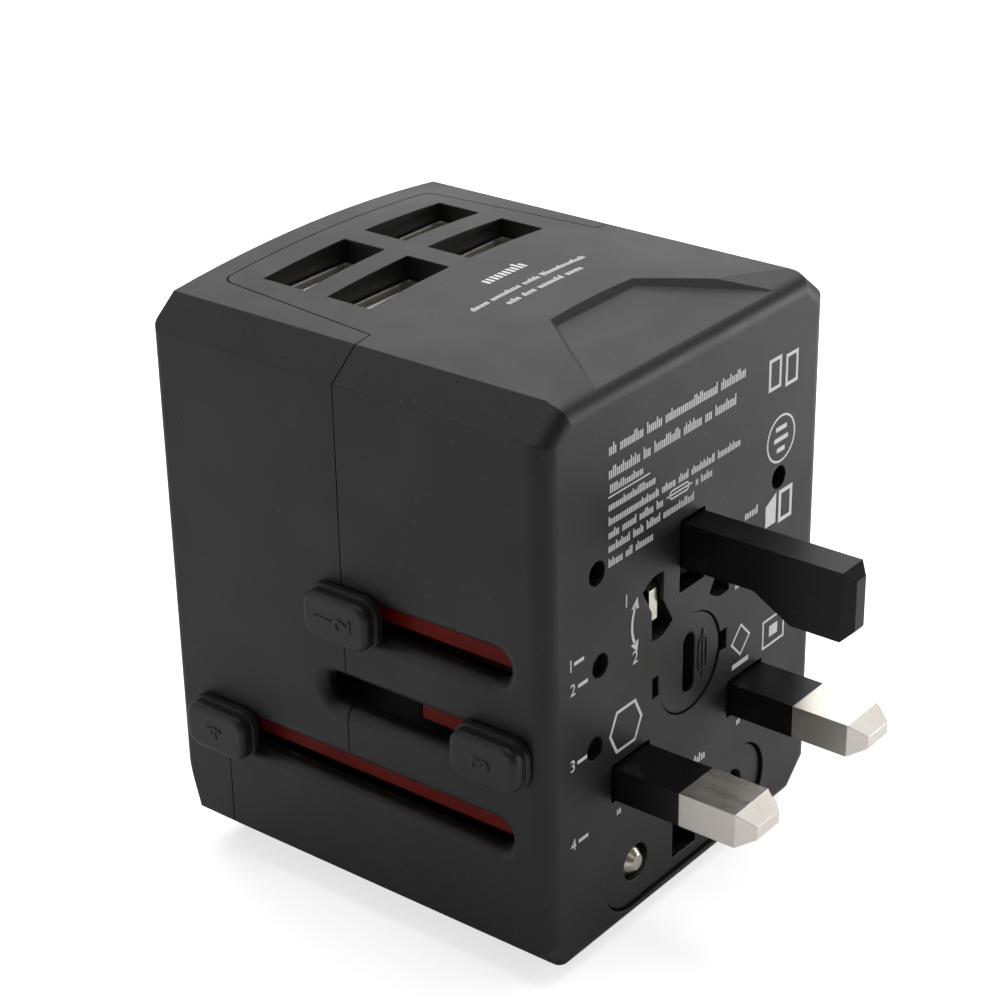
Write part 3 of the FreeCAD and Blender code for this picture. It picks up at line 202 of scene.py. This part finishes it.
def add_relief(tree, shader, depth, height, normal):
    """Fine relief of this depth, over a surface whose edges are already rounded."""
    feeds = {"Strength": 1.0, "Distance": depth, "Height": height, "Normal": normal}
    bump = add_node(tree, "ShaderNodeBump", feeds)
    tree.links.new(bump.outputs["Normal"], shader.inputs["Normal"])


# a rubbed edge is the pale shade times a gain, plus a lift
RUBBED_GAIN = 2.6
RUBBED_LIFT = 0.03
DUST_SHARE = 0.12
DUST_COLOUR = (0.30, 0.29, 0.27)
# a finger smear has this share of the roughness of clean plastic
SMEAR_SMOOTHNESS = 0.86


def moulded_plastic(name, deep, pale, roughness, fineness=GRAIN_FINENESS, depth=0.000010, edge=0.00018,
                    rubbed=0.25, specular=0.5):
    """A moulded thermoplastic in two close shades, with its grain, rubbed edges and handling marks."""
    material, tree, shader = start_material(name)
    grain = use_group(tree, moulded_grain, {"Fineness": fineness})
    edges = use_group(tree, rubbed_edges, {"Radius": edge})
    marks = use_group(tree, handling_marks, {})
    body = mix_colours(tree, grain.outputs["Cloud"], deep, pale)
    rub = calculate(tree, "MULTIPLY", edges.outputs["Edge"], rubbed)
    worn = mix_colours(tree, rub, body, tuple(min(1.0, RUBBED_GAIN * c + RUBBED_LIFT) for c in pale))
    dust = calculate(tree, "MULTIPLY", marks.outputs["Speck"], DUST_SHARE)
    dusted = mix_colours(tree, dust, worn, DUST_COLOUR)
    tree.links.new(dusted, shader.inputs["Base Color"])
    tree.links.new(stretch(tree, marks.outputs["Smear"], roughness, roughness * SMEAR_SMOOTHNESS),
                   shader.inputs["Roughness"])
    add_relief(tree, shader, depth, grain.outputs["Height"], edges.outputs["Normal"])
    shader.inputs["Specular IOR Level"].default_value = specular
    return material


def finish(material, *nodes):
    """Give these CAD nodes their finish."""
    for node in nodes:
        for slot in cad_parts[node].material_slots:
            slot.material = material


case_black = moulded_plastic("case_black", (0.0085, 0.0083, 0.0082), (0.0115, 0.0112, 0.0110), 0.50)
finish(case_black, "plug_side_housing", "socket_side_cover")

# ------------------------------------------------------------------------------------------------
# Socket face. A separate plate moulded in the same black plastic, a little smoother, that snaps into
# the cover behind the outlet's openings.
socket_black = moulded_plastic("socket_black", (0.0075, 0.0075, 0.0075), (0.0105, 0.0102, 0.0100), 0.44,
                               fineness=2400.0, depth=0.000006)
finish(socket_black, "socket_face")

# ------------------------------------------------------------------------------------------------
# Case screws. Two long zinc-plated steel screws at the bottom of round recesses in the plug face.


SCRATCH_FINENESS = 900.0


def make_fine_scratches():
    """Hair-fine scratches along a piece, as a mask and a height, with blotches of tarnish."""
    group, entry, result = start_group(
        "fine_scratches", [("Fineness", SCRATCH_FINENESS), ("Length", 0.08)],
        [("Scratch", "NodeSocketFloat"), ("Tarnish", "NodeSocketFloat")])
    place = add_node(group, "ShaderNodeTexCoord").outputs["Object"]
    axes = add_node(group, "ShaderNodeSeparateXYZ", {"Vector": place})
    along = calculate(group, "MULTIPLY", axes.outputs["Y"], entry.outputs["Length"])
    drawn = add_node(group, "ShaderNodeCombineXYZ",
                     {"X": axes.outputs["X"], "Y": along, "Z": axes.outputs["Z"]})
    lines = add_node(group, "ShaderNodeTexNoise",
                     {"Vector": drawn.outputs["Vector"], "Scale": entry.outputs["Fineness"], "Detail": 5.0,
                      "Roughness": 0.7})
    scratch = stretch(group, lines.outputs["Fac"], 0.0, 1.0, start=0.36, end=0.66)
    group.links.new(scratch, result.inputs["Scratch"])
    blotches = add_node(group, "ShaderNodeTexNoise",
                        {"Vector": place, "Scale": 170.0, "Detail": 6.0, "Roughness": 0.6})
    tarnish = stretch(group, blotches.outputs["Fac"], 0.0, 1.0, start=0.40, end=0.80)
    group.links.new(tarnish, result.inputs["Tarnish"])
    return group


fine_scratches = make_fine_scratches()
METAL_SMEAR_SIZE = 180.0
POLISHED_EDGE_SHARE = 0.5
# what a scratch and a finger smear each add to the roughness
SCRATCH_ROUGHNESS = 0.06
SMEAR_ROUGHNESS = 0.05


def plated_metal(name, bright, dull, polish, tarnished, fineness=SCRATCH_FINENESS, depth=0.0000015,
                 edge=0.00012):
    """A plated metal: bright, with hair scratches, tarnish in blotches and polished edges."""
    material, tree, shader = start_material(name)
    lines = use_group(tree, fine_scratches, {"Fineness": fineness})
    edges = use_group(tree, rubbed_edges, {"Radius": edge})
    marks = use_group(tree, handling_marks, {"Size": METAL_SMEAR_SIZE})
    spoiled = calculate(tree, "MULTIPLY", lines.outputs["Tarnish"], tarnished)
    body = mix_colours(tree, spoiled, bright, dull)
    polished = calculate(tree, "MULTIPLY", edges.outputs["Edge"], POLISHED_EDGE_SHARE)
    tree.links.new(mix_colours(tree, polished, body, bright), shader.inputs["Base Color"])
    rough = stretch(tree, lines.outputs["Scratch"], polish, polish + SCRATCH_ROUGHNESS)
    rougher = calculate(tree, "MULTIPLY", marks.outputs["Smear"], SMEAR_ROUGHNESS)
    tree.links.new(calculate(tree, "ADD", rough, rougher), shader.inputs["Roughness"])
    add_relief(tree, shader, depth, lines.outputs["Scratch"], edges.outputs["Normal"])
    shader.inputs["Metallic"].default_value = 1.0
    return material


screw_zinc = plated_metal("screw_zinc", (0.42, 0.42, 0.41), (0.20, 0.19, 0.17), 0.30, 0.8)
finish(screw_zinc, "case_screws", "fuse_spring")

# ------------------------------------------------------------------------------------------------
# Inner mouldings. A dark red rail plate lies behind the slider slots, and dark grey guide plates and
# black carriages behind it keep the three plugs apart as they slide.
rail_red = moulded_plastic("rail_red", (0.135, 0.006, 0.003), (0.200, 0.010, 0.005), 0.50,
                           fineness=1500.0, depth=0.000008, rubbed=0.05, specular=0.12)
finish(rail_red, "red_backing")
guide_grey = moulded_plastic("guide_grey", (0.010, 0.010, 0.010), (0.014, 0.014, 0.014), 0.5)
finish(guide_grey, "lower_guide", "upper_guide", "fuse_tube")
carriage_black = moulded_plastic("carriage_black", (0.004, 0.004, 0.004), (0.006, 0.006, 0.006), 0.5)
finish(carriage_black, "uk_carriage", "us_carriage", "eu_carriage")

# ------------------------------------------------------------------------------------------------
# Thumb sliders. Each is a stepped pad of black plastic on a neck through its slot, with the number
# of its plug raised on it: 1 and 2 for the blades' two positions, 3 for square pins, 4 for round.
slider_black = moulded_plastic("slider_black", (0.0125, 0.0122, 0.0120), (0.0160, 0.0156, 0.0152), 0.47,
                               fineness=2600.0, depth=0.000008, edge=0.00022, rubbed=0.35)
finish(slider_black, "uk_knob", "us_knob", "eu_knob")


def add_object(name, data):
    """A new object in the scene."""
    thing = bpy.data.objects.new(name, data)
    bpy.context.scene.collection.objects.link(thing)
    return thing


def raised_number(name, digit, tall, thick, rounding):
    """A number as a raised solid, its middle at the origin, facing +Z and upright along +Y."""
    line = bpy.data.curves.new(name, "FONT")
    line.body = digit
    line.size = tall
    line.align_x = "CENTER"
    line.align_y = "CENTER"
    line.extrude = thick / 2
    line.bevel_depth = rounding
    line.bevel_resolution = 2
    line.resolution_u = 6
    holder = add_object(name + "_line", line)
    bpy.context.view_layer.update()
    mesh = bpy.data.meshes.new_from_object(holder.evaluated_get(bpy.context.evaluated_depsgraph_get()))
    bpy.data.objects.remove(holder)
    mesh.materials.clear()
    return add_object(name, mesh)


NUMBER_SIZE = 3.3 * MM
NUMBER_THICKNESS = 0.16 * MM
NUMBER_ROUNDING = 0.03 * MM
# half the space between the two numbers on the blades' slider, in millimetres
HALF_SPACE = 1.35
SLIDER_NUMBERS = (("us_knob", "blade_plug", "1", HALF_SPACE), ("us_knob", "blade_plug", "2", -HALF_SPACE),
                  ("uk_knob", "square_plug", "3", 0.0), ("eu_knob", "round_plug", "4", 0.0))
for knob, body, digit, offset in SLIDER_NUMBERS:
    low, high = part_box(knob)
    piece = raised_number("slider_number_" + digit, digit, NUMBER_SIZE, NUMBER_THICKNESS, NUMBER_ROUNDING)
    # facing -X, with the top of the number towards the back
    middle = Vector((low.x, (low.y + high.y) / 2 + offset * MM, (low.z + high.z) / 2))
    turn = Matrix(((0, 0, -1), (0, 1, 0), (1, 0, 0)))
    piece.data.transform(Matrix.Translation(middle) @ turn.to_4x4())
    piece.data.materials.append(slider_black)
    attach(piece, body)

# ------------------------------------------------------------------------------------------------
# Square-pin plug. Solid brass pins, nickel plated, with moulded black sleeves on the half next to
# the case. The earth pin is all plastic, because this adapter has no earth.
pin_nickel = plated_metal("pin_nickel", (0.93, 0.88, 0.81), (0.74, 0.69, 0.61), 0.26, 0.35,
                          depth=0.0000002)
finish(pin_nickel, "uk_live_pin", "uk_neutral_pin")
sleeve_black = moulded_plastic("sleeve_black", (0.0035, 0.0035, 0.0035), (0.0050, 0.0050, 0.0050), 0.32,
                               fineness=900.0, depth=0.000004, edge=0.00012, rubbed=0.3, specular=0.30)
finish(sleeve_black, "uk_live_sleeve", "uk_neutral_sleeve", "uk_earth_pin")

# ------------------------------------------------------------------------------------------------
# Two-blade plug and round-pin plug. Blades and round pins are nickel-plated brass as well; the round
# pins run in black sleeves through a stadium-shaped block that comes out with them.
blade_nickel = plated_metal("blade_nickel", (0.88, 0.83, 0.75), (0.48, 0.41, 0.33), 0.18, 0.6,
                            fineness=1300.0)
finish(blade_nickel, "us_blade_left", "us_blade_right", "eu_pin_left", "eu_pin_right")
finish(sleeve_black, "eu_sleeve_left", "eu_sleeve_right")
block_black = moulded_plastic("block_black", (0.0085, 0.0083, 0.0082), (0.0115, 0.0112, 0.0110), 0.46,
                              edge=0.00025, rubbed=0.35)
finish(block_black, "eu_block", "fuse_cap")

# ------------------------------------------------------------------------------------------------
# Fuse. A glass tube between plated ends, pressed by a spring, behind a black cap turned by a coin.
# The cap carries a raised fuse sign, which has its own section below the printing.
finish(blade_nickel, "fuse_end_caps")
fuse_glass = moulded_plastic("fuse_glass", (0.62, 0.66, 0.64), (0.70, 0.73, 0.71), 0.08, depth=0.000001,
                             rubbed=0.0)
finish(fuse_glass, "fuse_glass")

# ------------------------------------------------------------------------------------------------
# Charging ports. Each is a folded shell of nickel-plated steel round a pale insulator that carries
# four gilt contact strips; all four stand on one circuit board. The outlet's contacts are gilt too.
shell_nickel = plated_metal("shell_nickel", (0.80, 0.77, 0.72), (0.45, 0.41, 0.36), 0.20, 0.35, edge=0.00005)
port_white = moulded_plastic("port_white", (0.50, 0.50, 0.47), (0.60, 0.60, 0.56), 0.45, fineness=1500.0,
                             depth=0.000004, edge=0.00008, rubbed=0.0)
contact_gilt = plated_metal("contact_gilt", (0.86, 0.62, 0.28), (0.50, 0.33, 0.12), 0.2, 0.4, edge=0.00005)
for number in "1234":
    finish(shell_nickel, "usb_shell_" + number)
    finish(port_white, "usb_tongue_" + number)
finish(contact_gilt, "usb_contacts", "live_contact", "neutral_contact", "live_rail", "neutral_rail")

# ------------------------------------------------------------------------------------------------
# Charger. Green circuit boards with a ferrite transformer and capacitors, shut inside the case.
board_green = moulded_plastic("board_green", (0.006, 0.045, 0.018), (0.010, 0.075, 0.030), 0.35)
ferrite_grey = moulded_plastic("ferrite_grey", (0.030, 0.030, 0.032), (0.050, 0.050, 0.052), 0.6)
coil_yellow = moulded_plastic("coil_yellow", (0.55, 0.36, 0.03), (0.68, 0.47, 0.06), 0.4)
capacitor_sleeve = moulded_plastic("capacitor_sleeve", (0.010, 0.012, 0.03), (0.015, 0.018, 0.05), 0.35)
finish(board_green, "usb_board", "power_board")
finish(ferrite_grey, "transformer_core")
finish(coil_yellow, "transformer_coil")
finish(capacitor_sleeve, "mains_capacitor", "output_capacitors")

# ------------------------------------------------------------------------------------------------
# Printing. One pass of white pad-printing ink on the plug face and the roof, 0.02 mm proud of them.
# The rows of small type are plain blocks, the signs are plain shapes, and the plugs go by number.
ink_white = moulded_plastic("ink_white", (0.88, 0.88, 0.88), (0.95, 0.95, 0.94), 0.55, fineness=5200.0,
                            depth=0.000002, edge=0.00001, rubbed=0.0)
# how far the ink stands out of the surface, and how far its solids reach below it
INK_PROUD = 0.02 * MM
ABOVE_ROOF = 5 * MM
# a mitre grows no longer than half the stroke's width over this
MITRE_LIMIT = 0.35
# small type: bar heights as shares of the row's, and the rest as shares of the pitch of its letters
BAR_HEIGHTS = (0.68, 0.70, 0.72, 1.0)
BAR_STARTS = (0.0, 0.48)
BAR_WIDTH = 0.29
WORD_GAP = 0.75
# a number's font size over the height of its digits
FONT_OVER_HEIGHT = 1.38
face_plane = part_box("plug_side_housing")[0].y
housing_tree = BVHTree.FromPolygons(
    [v.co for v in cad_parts["plug_side_housing"].data.vertices],
    [p.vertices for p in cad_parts["plug_side_housing"].data.polygons])


def on_plug_face(across, up, lift):
    """A point on the plug face, across and up in millimetres."""
    return Vector((across * MM, face_plane - lift, up * MM))


def on_roof(across, deep, lift):
    """A point on the crowned roof, found by dropping a line on to it."""
    spot = Vector((across * MM, deep * MM, cad_high.z + ABOVE_ROOF))
    found = housing_tree.ray_cast(spot, Vector((0, 0, -1)))[0]
    return Vector((spot.x, spot.y, found.z + lift))


def oblong(left, low, right, high):
    """The corners of an upright rectangle, anticlockwise."""
    return [(left, low), (right, low), (right, high), (left, high)]


class Printer:
    """Collects flat printed shapes as thin closed solids on one surface."""

    def __init__(self, seat):
        self.seat = seat
        self.form = bmesh.new()

    def patch(self, outline):
        """A filled shape inside an outline, given anticlockwise."""
        below = [self.form.verts.new(self.seat(u, v, -INK_PROUD)) for u, v in outline]
        above = [self.form.verts.new(self.seat(u, v, INK_PROUD)) for u, v in outline]
        count = len(outline)
        self.form.faces.new(above)
        self.form.faces.new(below[::-1])
        for here in range(count):
            after = (here + 1) % count
            self.form.faces.new((below[here], below[after], above[after], above[here]))

    def block(self, left, low, width, height):
        """A filled upright rectangle."""
        self.patch(oblong(left, low, left + width, low + height))

    def line(self, points, width, closed=False):
        """A stroke of even width along points, mitred at its corners."""
        spots = [Vector(p) for p in points]
        count = len(spots)
        sides = []
        for here, spot in enumerate(spots):
            before = spots[here - 1] if closed or here else None
            after = spots[(here + 1) % count] if closed or here < count - 1 else None
            runs = [(spot - before).normalized()] if before is not None else []
            runs += [(after - spot).normalized()] if after is not None else []
            run = sum(runs, Vector((0, 0))).normalized()
            square = Vector((-run.y, run.x))
            reach = width / 2 / max(MITRE_LIMIT, abs(square.dot(Vector((-runs[0].y, runs[0].x)))))
            sides.append((spot - square * reach, spot + square * reach))
        rings = []
        for low, high in sides:
            section = ((low, INK_PROUD), (high, INK_PROUD), (high, -INK_PROUD), (low, -INK_PROUD))
            rings.append([self.form.verts.new(self.seat(*point, lift)) for point, lift in section])
        for here in range(count if closed else count - 1):
            one = rings[here]
            two = rings[(here + 1) % count]
            for corner in range(4):
                after = (corner + 1) % 4
                self.form.faces.new((one[corner], one[after], two[after], two[corner]))
        if not closed:
            self.form.faces.new(rings[0][::-1])
            self.form.faces.new(rings[-1])

    def ring(self, middle, radius, width, corners=48):
        """A round outline."""
        turns = [2 * math.pi * step / corners for step in range(corners)]
        self.line([(middle[0] + radius * math.cos(a), middle[1] + radius * math.sin(a)) for a in turns],
                  width, closed=True)

    def type_row(self, left, low, height, words, pitch, draw):
        """A row of small type as plain blocks: each word is a run of short upright bars."""
        across = left
        for letters in words:
            for _ in range(letters):
                for start in BAR_STARTS:
                    tall = height * draw.choice(BAR_HEIGHTS)
                    self.block(across + start * pitch, low, BAR_WIDTH * pitch, tall)
                across += pitch
            across += WORD_GAP * pitch

    def number(self, digits, left, low, height):
        """A printed number, its lower left corner at left, low. Gives its width in millimetres."""
        shape = raised_number("printed_" + digits, digits, height * FONT_OVER_HEIGHT * MM, INK_PROUD, 0.0)
        places = [vertex.co for vertex in shape.data.vertices]
        lowest = Vector((min(place[k] for place in places) for k in range(3)))
        spots = []
        for place in places:
            across = (place.x - lowest.x) / MM + left
            up = (place.y - lowest.y) / MM + low
            lift = INK_PROUD if place.z > 0 else -INK_PROUD
            spots.append(self.form.verts.new(self.seat(across, up, lift)))
        for polygon in shape.data.polygons:
            self.form.faces.new([spots[k] for k in polygon.vertices])
        width = (max(place.x for place in places) - lowest.x) / MM
        bpy.data.objects.remove(shape)
        return width

    def finish(self, name, material):
        """The collected shapes as one piece."""
        bmesh.ops.recalc_face_normals(self.form, faces=self.form.faces)
        mesh = bpy.data.meshes.new(name)
        self.form.to_mesh(mesh)
        self.form.free()
        mesh.materials.append(material)
        return add_object(name, mesh)


type_draw = random.Random(7)
FACE_ROWS = (
    # left, low, height and pitch in millimetres, then the letters of each word
    (-15.3, 59.45, 1.30, 0.695, (2, 6, 4, 14, 7)),
    (-15.3, 56.85, 1.30, 0.690, (8, 2, 7, 5, 2, 6)),
    (-15.1, 55.25, 0.95, 0.740, (8,)),
    (-15.3, 53.30, 0.95, 0.640, (13,)),
    (-15.3, 51.65, 1.00, 0.640, (14, 4, 3, 7, 7)),
    (-15.3, 50.15, 1.00, 0.640, (3, 4, 4, 2)),
    (0.4, 50.10, 1.00, 0.560, (1, 4)),
    (-15.3, 48.60, 1.00, 0.640, (6, 3, 4, 9)),
    (-15.3, 46.90, 1.00, 0.640, (4, 2, 5)),
    (10.3, 42.00, 1.05, 0.900, (3,)),
    (0.8, 15.10, 1.15, 0.900, (3,)),
    (-13.6, 16.20, 0.95, 0.900, (1,)),
    (9.7, 16.20, 0.95, 0.900, (1,)),
    (8.7, 34.10, 0.95, 0.900, (1,)),
)
face_print = Printer(on_plug_face)
for left, low, height, pitch, words in FACE_ROWS:
    face_print.type_row(left, low, height, words, pitch, type_draw)

# widths of the strokes, in millimetres
RULE_STROKE = 0.16
CAPSULE_STROKE = 0.18
THIN_STROKE = 0.26
FRAME_STROKE = 0.30
MIDDLE_STROKE = 0.36
BROAD_STROKE = 0.42
HEAVY_STROKE = 0.5

# a rule under the third row, and in the sixth the fuse sign: a lying capsule with a line through it
face_print.line([(-15.4, 54.85), (-8.1, 54.85)], RULE_STROKE)
CAPSULE = [(-4.1, 50.30), (-1.2, 50.30), (-0.75, 50.75), (-1.2, 51.20), (-4.1, 51.20), (-4.55, 50.75)]
face_print.line(CAPSULE, CAPSULE_STROKE, closed=True)
face_print.line([(-5.0, 50.75), (-0.3, 50.75)], CAPSULE_STROKE)

# the right-hand column: two oblongs, a ring with three bars, and a wedge beside an oblong
RING_MIDDLE = (17.2, 49.4)
RING_RADIUS = 2.75
RING_BAR_HEIGHT = 0.55
# the lower edge of each bar in the ring, and half its width
RING_BARS = ((50.4, 1.1), (49.1, 1.4), (47.8, 0.8))
face_print.line(oblong(14.5, 56.0, 16.6, 59.4), BROAD_STROKE, closed=True)
face_print.line(oblong(17.9, 55.6, 20.0, 59.0), BROAD_STROKE, closed=True)
face_print.ring(RING_MIDDLE, RING_RADIUS, THIN_STROKE)
for low, half in RING_BARS:
    face_print.block(RING_MIDDLE[0] - half, low, 2 * half, RING_BAR_HEIGHT)
face_print.patch([(14.5, 39.3), (16.6, 39.3), (16.6, 43.0), (14.5, 41.9)])
face_print.line(oblong(17.4, 39.2, 19.7, 42.7), HEAVY_STROKE, closed=True)

# the blades' turn as a double arrow, with the number of the position at each end
TURN_MIDDLE = (-6.35, 38.1)
TURN_RADIUS = 4.7
TURN_DEGREES = range(152, 209, 4)
# the upper arrow head's corners from the end of the arc; the lower head is its mirror image
ARROW_HEAD = ((0.40, 1.05), (-0.72, -0.05), (0.62, -0.35))
TURN_NUMBER_HEIGHT = 1.6
arc = []
for degrees in TURN_DEGREES:
    angle = math.radians(degrees)
    arc.append((TURN_MIDDLE[0] + TURN_RADIUS * math.cos(angle),
                TURN_MIDDLE[1] + TURN_RADIUS * math.sin(angle)))
face_print.line(arc, MIDDLE_STROKE)
for end, side in ((arc[0], 1), (arc[-1], -1)):
    corners = [(end[0] + across, end[1] + up * side) for across, up in ARROW_HEAD]
    face_print.patch(corners if side > 0 else corners[::-1])
face_print.number("1", -12.2, 40.95, TURN_NUMBER_HEIGHT)
face_print.number("2", -10.9, 33.55, TURN_NUMBER_HEIGHT)

# plain signs: a hexagon, a diamond over a bar, and an oblong in an oblong
HEXAGON = [(-13.7, 24.2), (-10.4, 24.2), (-9.2, 26.6), (-10.4, 29.0), (-13.7, 29.0), (-14.9, 26.6)]
DIAMOND = [(10.1, 25.3), (11.9, 27.2), (10.1, 29.1), (8.3, 27.2)]
face_print.line(HEXAGON, MIDDLE_STROKE, closed=True)
face_print.line(DIAMOND, THIN_STROKE, closed=True)
face_print.block(8.5, 23.9, 3.3, 0.62)
face_print.line(oblong(14.8, 23.8, 19.1, 27.2), FRAME_STROKE, closed=True)
face_print.patch(oblong(16.1, 24.8, 17.8, 26.2))

# the plugs' numbers beside their sliders, each with a dash after it
SIDE_LEFT = -21.9
SIDE_NUMBER_HEIGHT = 1.45
DASH_GAP = 0.45
DASH_LIFT = 0.5
DASH_LENGTH = 1.7
DASH_WIDTH = 0.42
SIDE_NUMBERS = (("1", 37.65), ("2", 34.75), ("3", 25.65), ("4", 15.85))
for digits, low in SIDE_NUMBERS:
    width = face_print.number(digits, SIDE_LEFT, low, SIDE_NUMBER_HEIGHT)
    face_print.block(SIDE_LEFT + width + DASH_GAP, low + DASH_LIFT, DASH_LENGTH, DASH_WIDTH)

ROOF_ROWS = (
    # the same five values as on the plug face
    (-3.2, -2.05, 1.75, 1.42, (5,)),
    (-9.9, -5.35, 0.85, 0.70, (4, 7, 4, 11)),
    (-6.4, -7.35, 0.90, 0.72, (3, 3, 6, 4)),
)
roof_print = Printer(on_roof)
for left, low, height, pitch, words in ROOF_ROWS:
    roof_print.type_row(left, low, height, words, pitch, type_draw)
for piece in (face_print.finish("plug_face_print", ink_white), roof_print.finish("roof_print", ink_white)):
    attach(piece, "case")

# ------------------------------------------------------------------------------------------------
# Fuse sign. A standing capsule with a line through it, raised in the cap's own plastic to the right
# of its coin slot.
cap_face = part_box("fuse_cap")[0].y
SIGN_PROUD = 0.12 * MM
SIGN_DEPTH = 0.05 * MM
SIGN_STROKE = 0.22
STANDING_CAPSULE = [(2.15, 26.9), (3.25, 26.9), (3.45, 27.3), (3.45, 30.3),
                    (3.25, 30.7), (2.15, 30.7), (1.95, 30.3), (1.95, 27.3)]


def on_cap(across, up, lift):
    """A point on the fuse cap's face; the sign stands out of it."""
    raised = SIGN_PROUD if lift > 0 else -SIGN_DEPTH
    return Vector((across * MM, cap_face - raised, up * MM))


fuse_sign = Printer(on_cap)
fuse_sign.line(STANDING_CAPSULE, SIGN_STROKE, closed=True)
fuse_sign.line([(2.70, 25.7), (2.70, 31.9)], SIGN_STROKE)
sign = fuse_sign.finish("fuse_sign", block_black)
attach(sign, "fuse_lid")

# ------------------------------------------------------------------------------------------------
# Floor, lights and camera. A plain white floor, two broad soft lights above and behind, four small
# ones round the object, and the camera in front of the corner between plug face and sliders.
FLOOR_HALF = 3.0
FLOOR_SQUARES = 8
FLOOR_SHADES = ((0.90, 0.90, 0.90), (0.93, 0.93, 0.93))
# the floor glows for the camera alone, and the world is bright to it and dim to the object
FLOOR_GLOW = 0.70
SEEN_SKY = 1.1
SKY_LIGHT = 0.11
floor_form = bmesh.new()
bmesh.ops.create_grid(floor_form, x_segments=FLOOR_SQUARES, y_segments=FLOOR_SQUARES, size=FLOOR_HALF)
floor_mesh = bpy.data.meshes.new("floor")
floor_form.to_mesh(floor_mesh)
floor_form.free()
floor = add_object("floor", floor_mesh)
floor_paint, floor_tree, floor_shader = start_material("floor_paint")
floor_noise = add_node(floor_tree, "ShaderNodeTexNoise", {"Scale": 3.0})
floor_shade = mix_colours(floor_tree, floor_noise.outputs["Fac"], *FLOOR_SHADES)
floor_tree.links.new(floor_shade, floor_shader.inputs["Base Color"])
floor_seen = add_node(floor_tree, "ShaderNodeLightPath").outputs["Is Camera Ray"]
floor_glow = calculate(floor_tree, "MULTIPLY", floor_seen, FLOOR_GLOW)
floor_tree.links.new(floor_glow, floor_shader.inputs["Emission Strength"])
floor_shader.inputs["Emission Color"].default_value = (1.0, 1.0, 1.0, 1.0)
floor_shader.inputs["Roughness"].default_value = 0.8
floor_shader.inputs["Specular IOR Level"].default_value = 0.1
floor_mesh.materials.append(floor_paint)

world = bpy.data.worlds.new("studio")
bpy.context.scene.world = world
world.use_nodes = True
sky_tree = world.node_tree
sky_tree.nodes.clear()
seen = add_node(sky_tree, "ShaderNodeLightPath").outputs["Is Camera Ray"]
white = add_node(sky_tree, "ShaderNodeBackground", {"Color": (1, 1, 1, 1), "Strength": SEEN_SKY})
dim = add_node(sky_tree, "ShaderNodeBackground", {"Color": (1, 0.99, 0.98, 1), "Strength": SKY_LIGHT})
chosen = add_node(sky_tree, "ShaderNodeMixShader", {0: seen, 1: dim.outputs[0], 2: white.outputs[0]})
add_node(sky_tree, "ShaderNodeOutputWorld", {"Surface": chosen.outputs[0]})

OBJECT_MIDDLE = Vector((0.0, -4.0, 34.0)) * MM


def soft_light(name, spot, width, tall, watts):
    """A rectangular soft box that faces the object."""
    lamp = bpy.data.lights.new(name, "AREA")
    lamp.shape = "RECTANGLE"
    lamp.size = width
    lamp.size_y = tall
    lamp.energy = watts
    holder = add_object(name, lamp)
    holder.location = spot
    holder.rotation_euler = (OBJECT_MIDDLE - Vector(spot)).to_track_quat("-Z", "Y").to_euler()
    holder.visible_camera = False


SOFT_LIGHTS = (
    # name, place, width and height in metres, and power in watts
    ("overhead_light", (0.10, 0.02, 0.60), 0.50, 0.50, 1.9),
    ("rear_light", (0.58, 0.44, 0.47), 1.20, 0.80, 3.7),
    ("tip_light", (0.40, -0.10, 0.44), 0.30, 0.30, 0.26),
    ("rear_left_light", (-0.18, 0.42, 0.42), 0.30, 0.25, 0.20),
    ("plug_side_light", (0.22, -0.17, 0.055), 0.16, 0.08, 0.22),
    ("slider_side_light", (-0.34, 0.28, 0.16), 0.24, 0.22, 0.20),
)
for name, spot, width, tall, watts in SOFT_LIGHTS:
    soft_light(name, spot, width, tall, watts)

camera_data = bpy.data.cameras.new("camera")
camera = add_object("camera", camera_data)
bpy.context.scene.camera = camera
CAMERA_PLACE = (-0.20294, -0.16122, 0.16734)
FOCAL_LENGTH = 91.99
SENSOR_WIDTH = 36.0
SIDE_SHIFT = 0.0095
UP_SHIFT = 0.0093
NEAREST_SEEN = 0.01
CAMERA_AZIMUTH = math.radians(-51.37)
CAMERA_RISE = math.radians(26.20)
CAMERA_ROLL = math.radians(-1.10)
backward = Vector((math.sin(CAMERA_AZIMUTH) * math.cos(CAMERA_RISE),
                   -math.cos(CAMERA_AZIMUTH) * math.cos(CAMERA_RISE),
                   math.sin(CAMERA_RISE)))
camera.rotation_mode = "QUATERNION"
camera.rotation_quaternion = (-backward).to_track_quat("-Z", "Y") @ Quaternion((0, 0, 1), CAMERA_ROLL)
camera.location = CAMERA_PLACE
camera_data.sensor_width = SENSOR_WIDTH
camera_data.lens = FOCAL_LENGTH
camera_data.shift_x = SIDE_SHIFT
camera_data.shift_y = UP_SHIFT
camera_data.clip_start = NEAREST_SEEN
bpy.context.scene.view_settings.view_transform = "Standard"
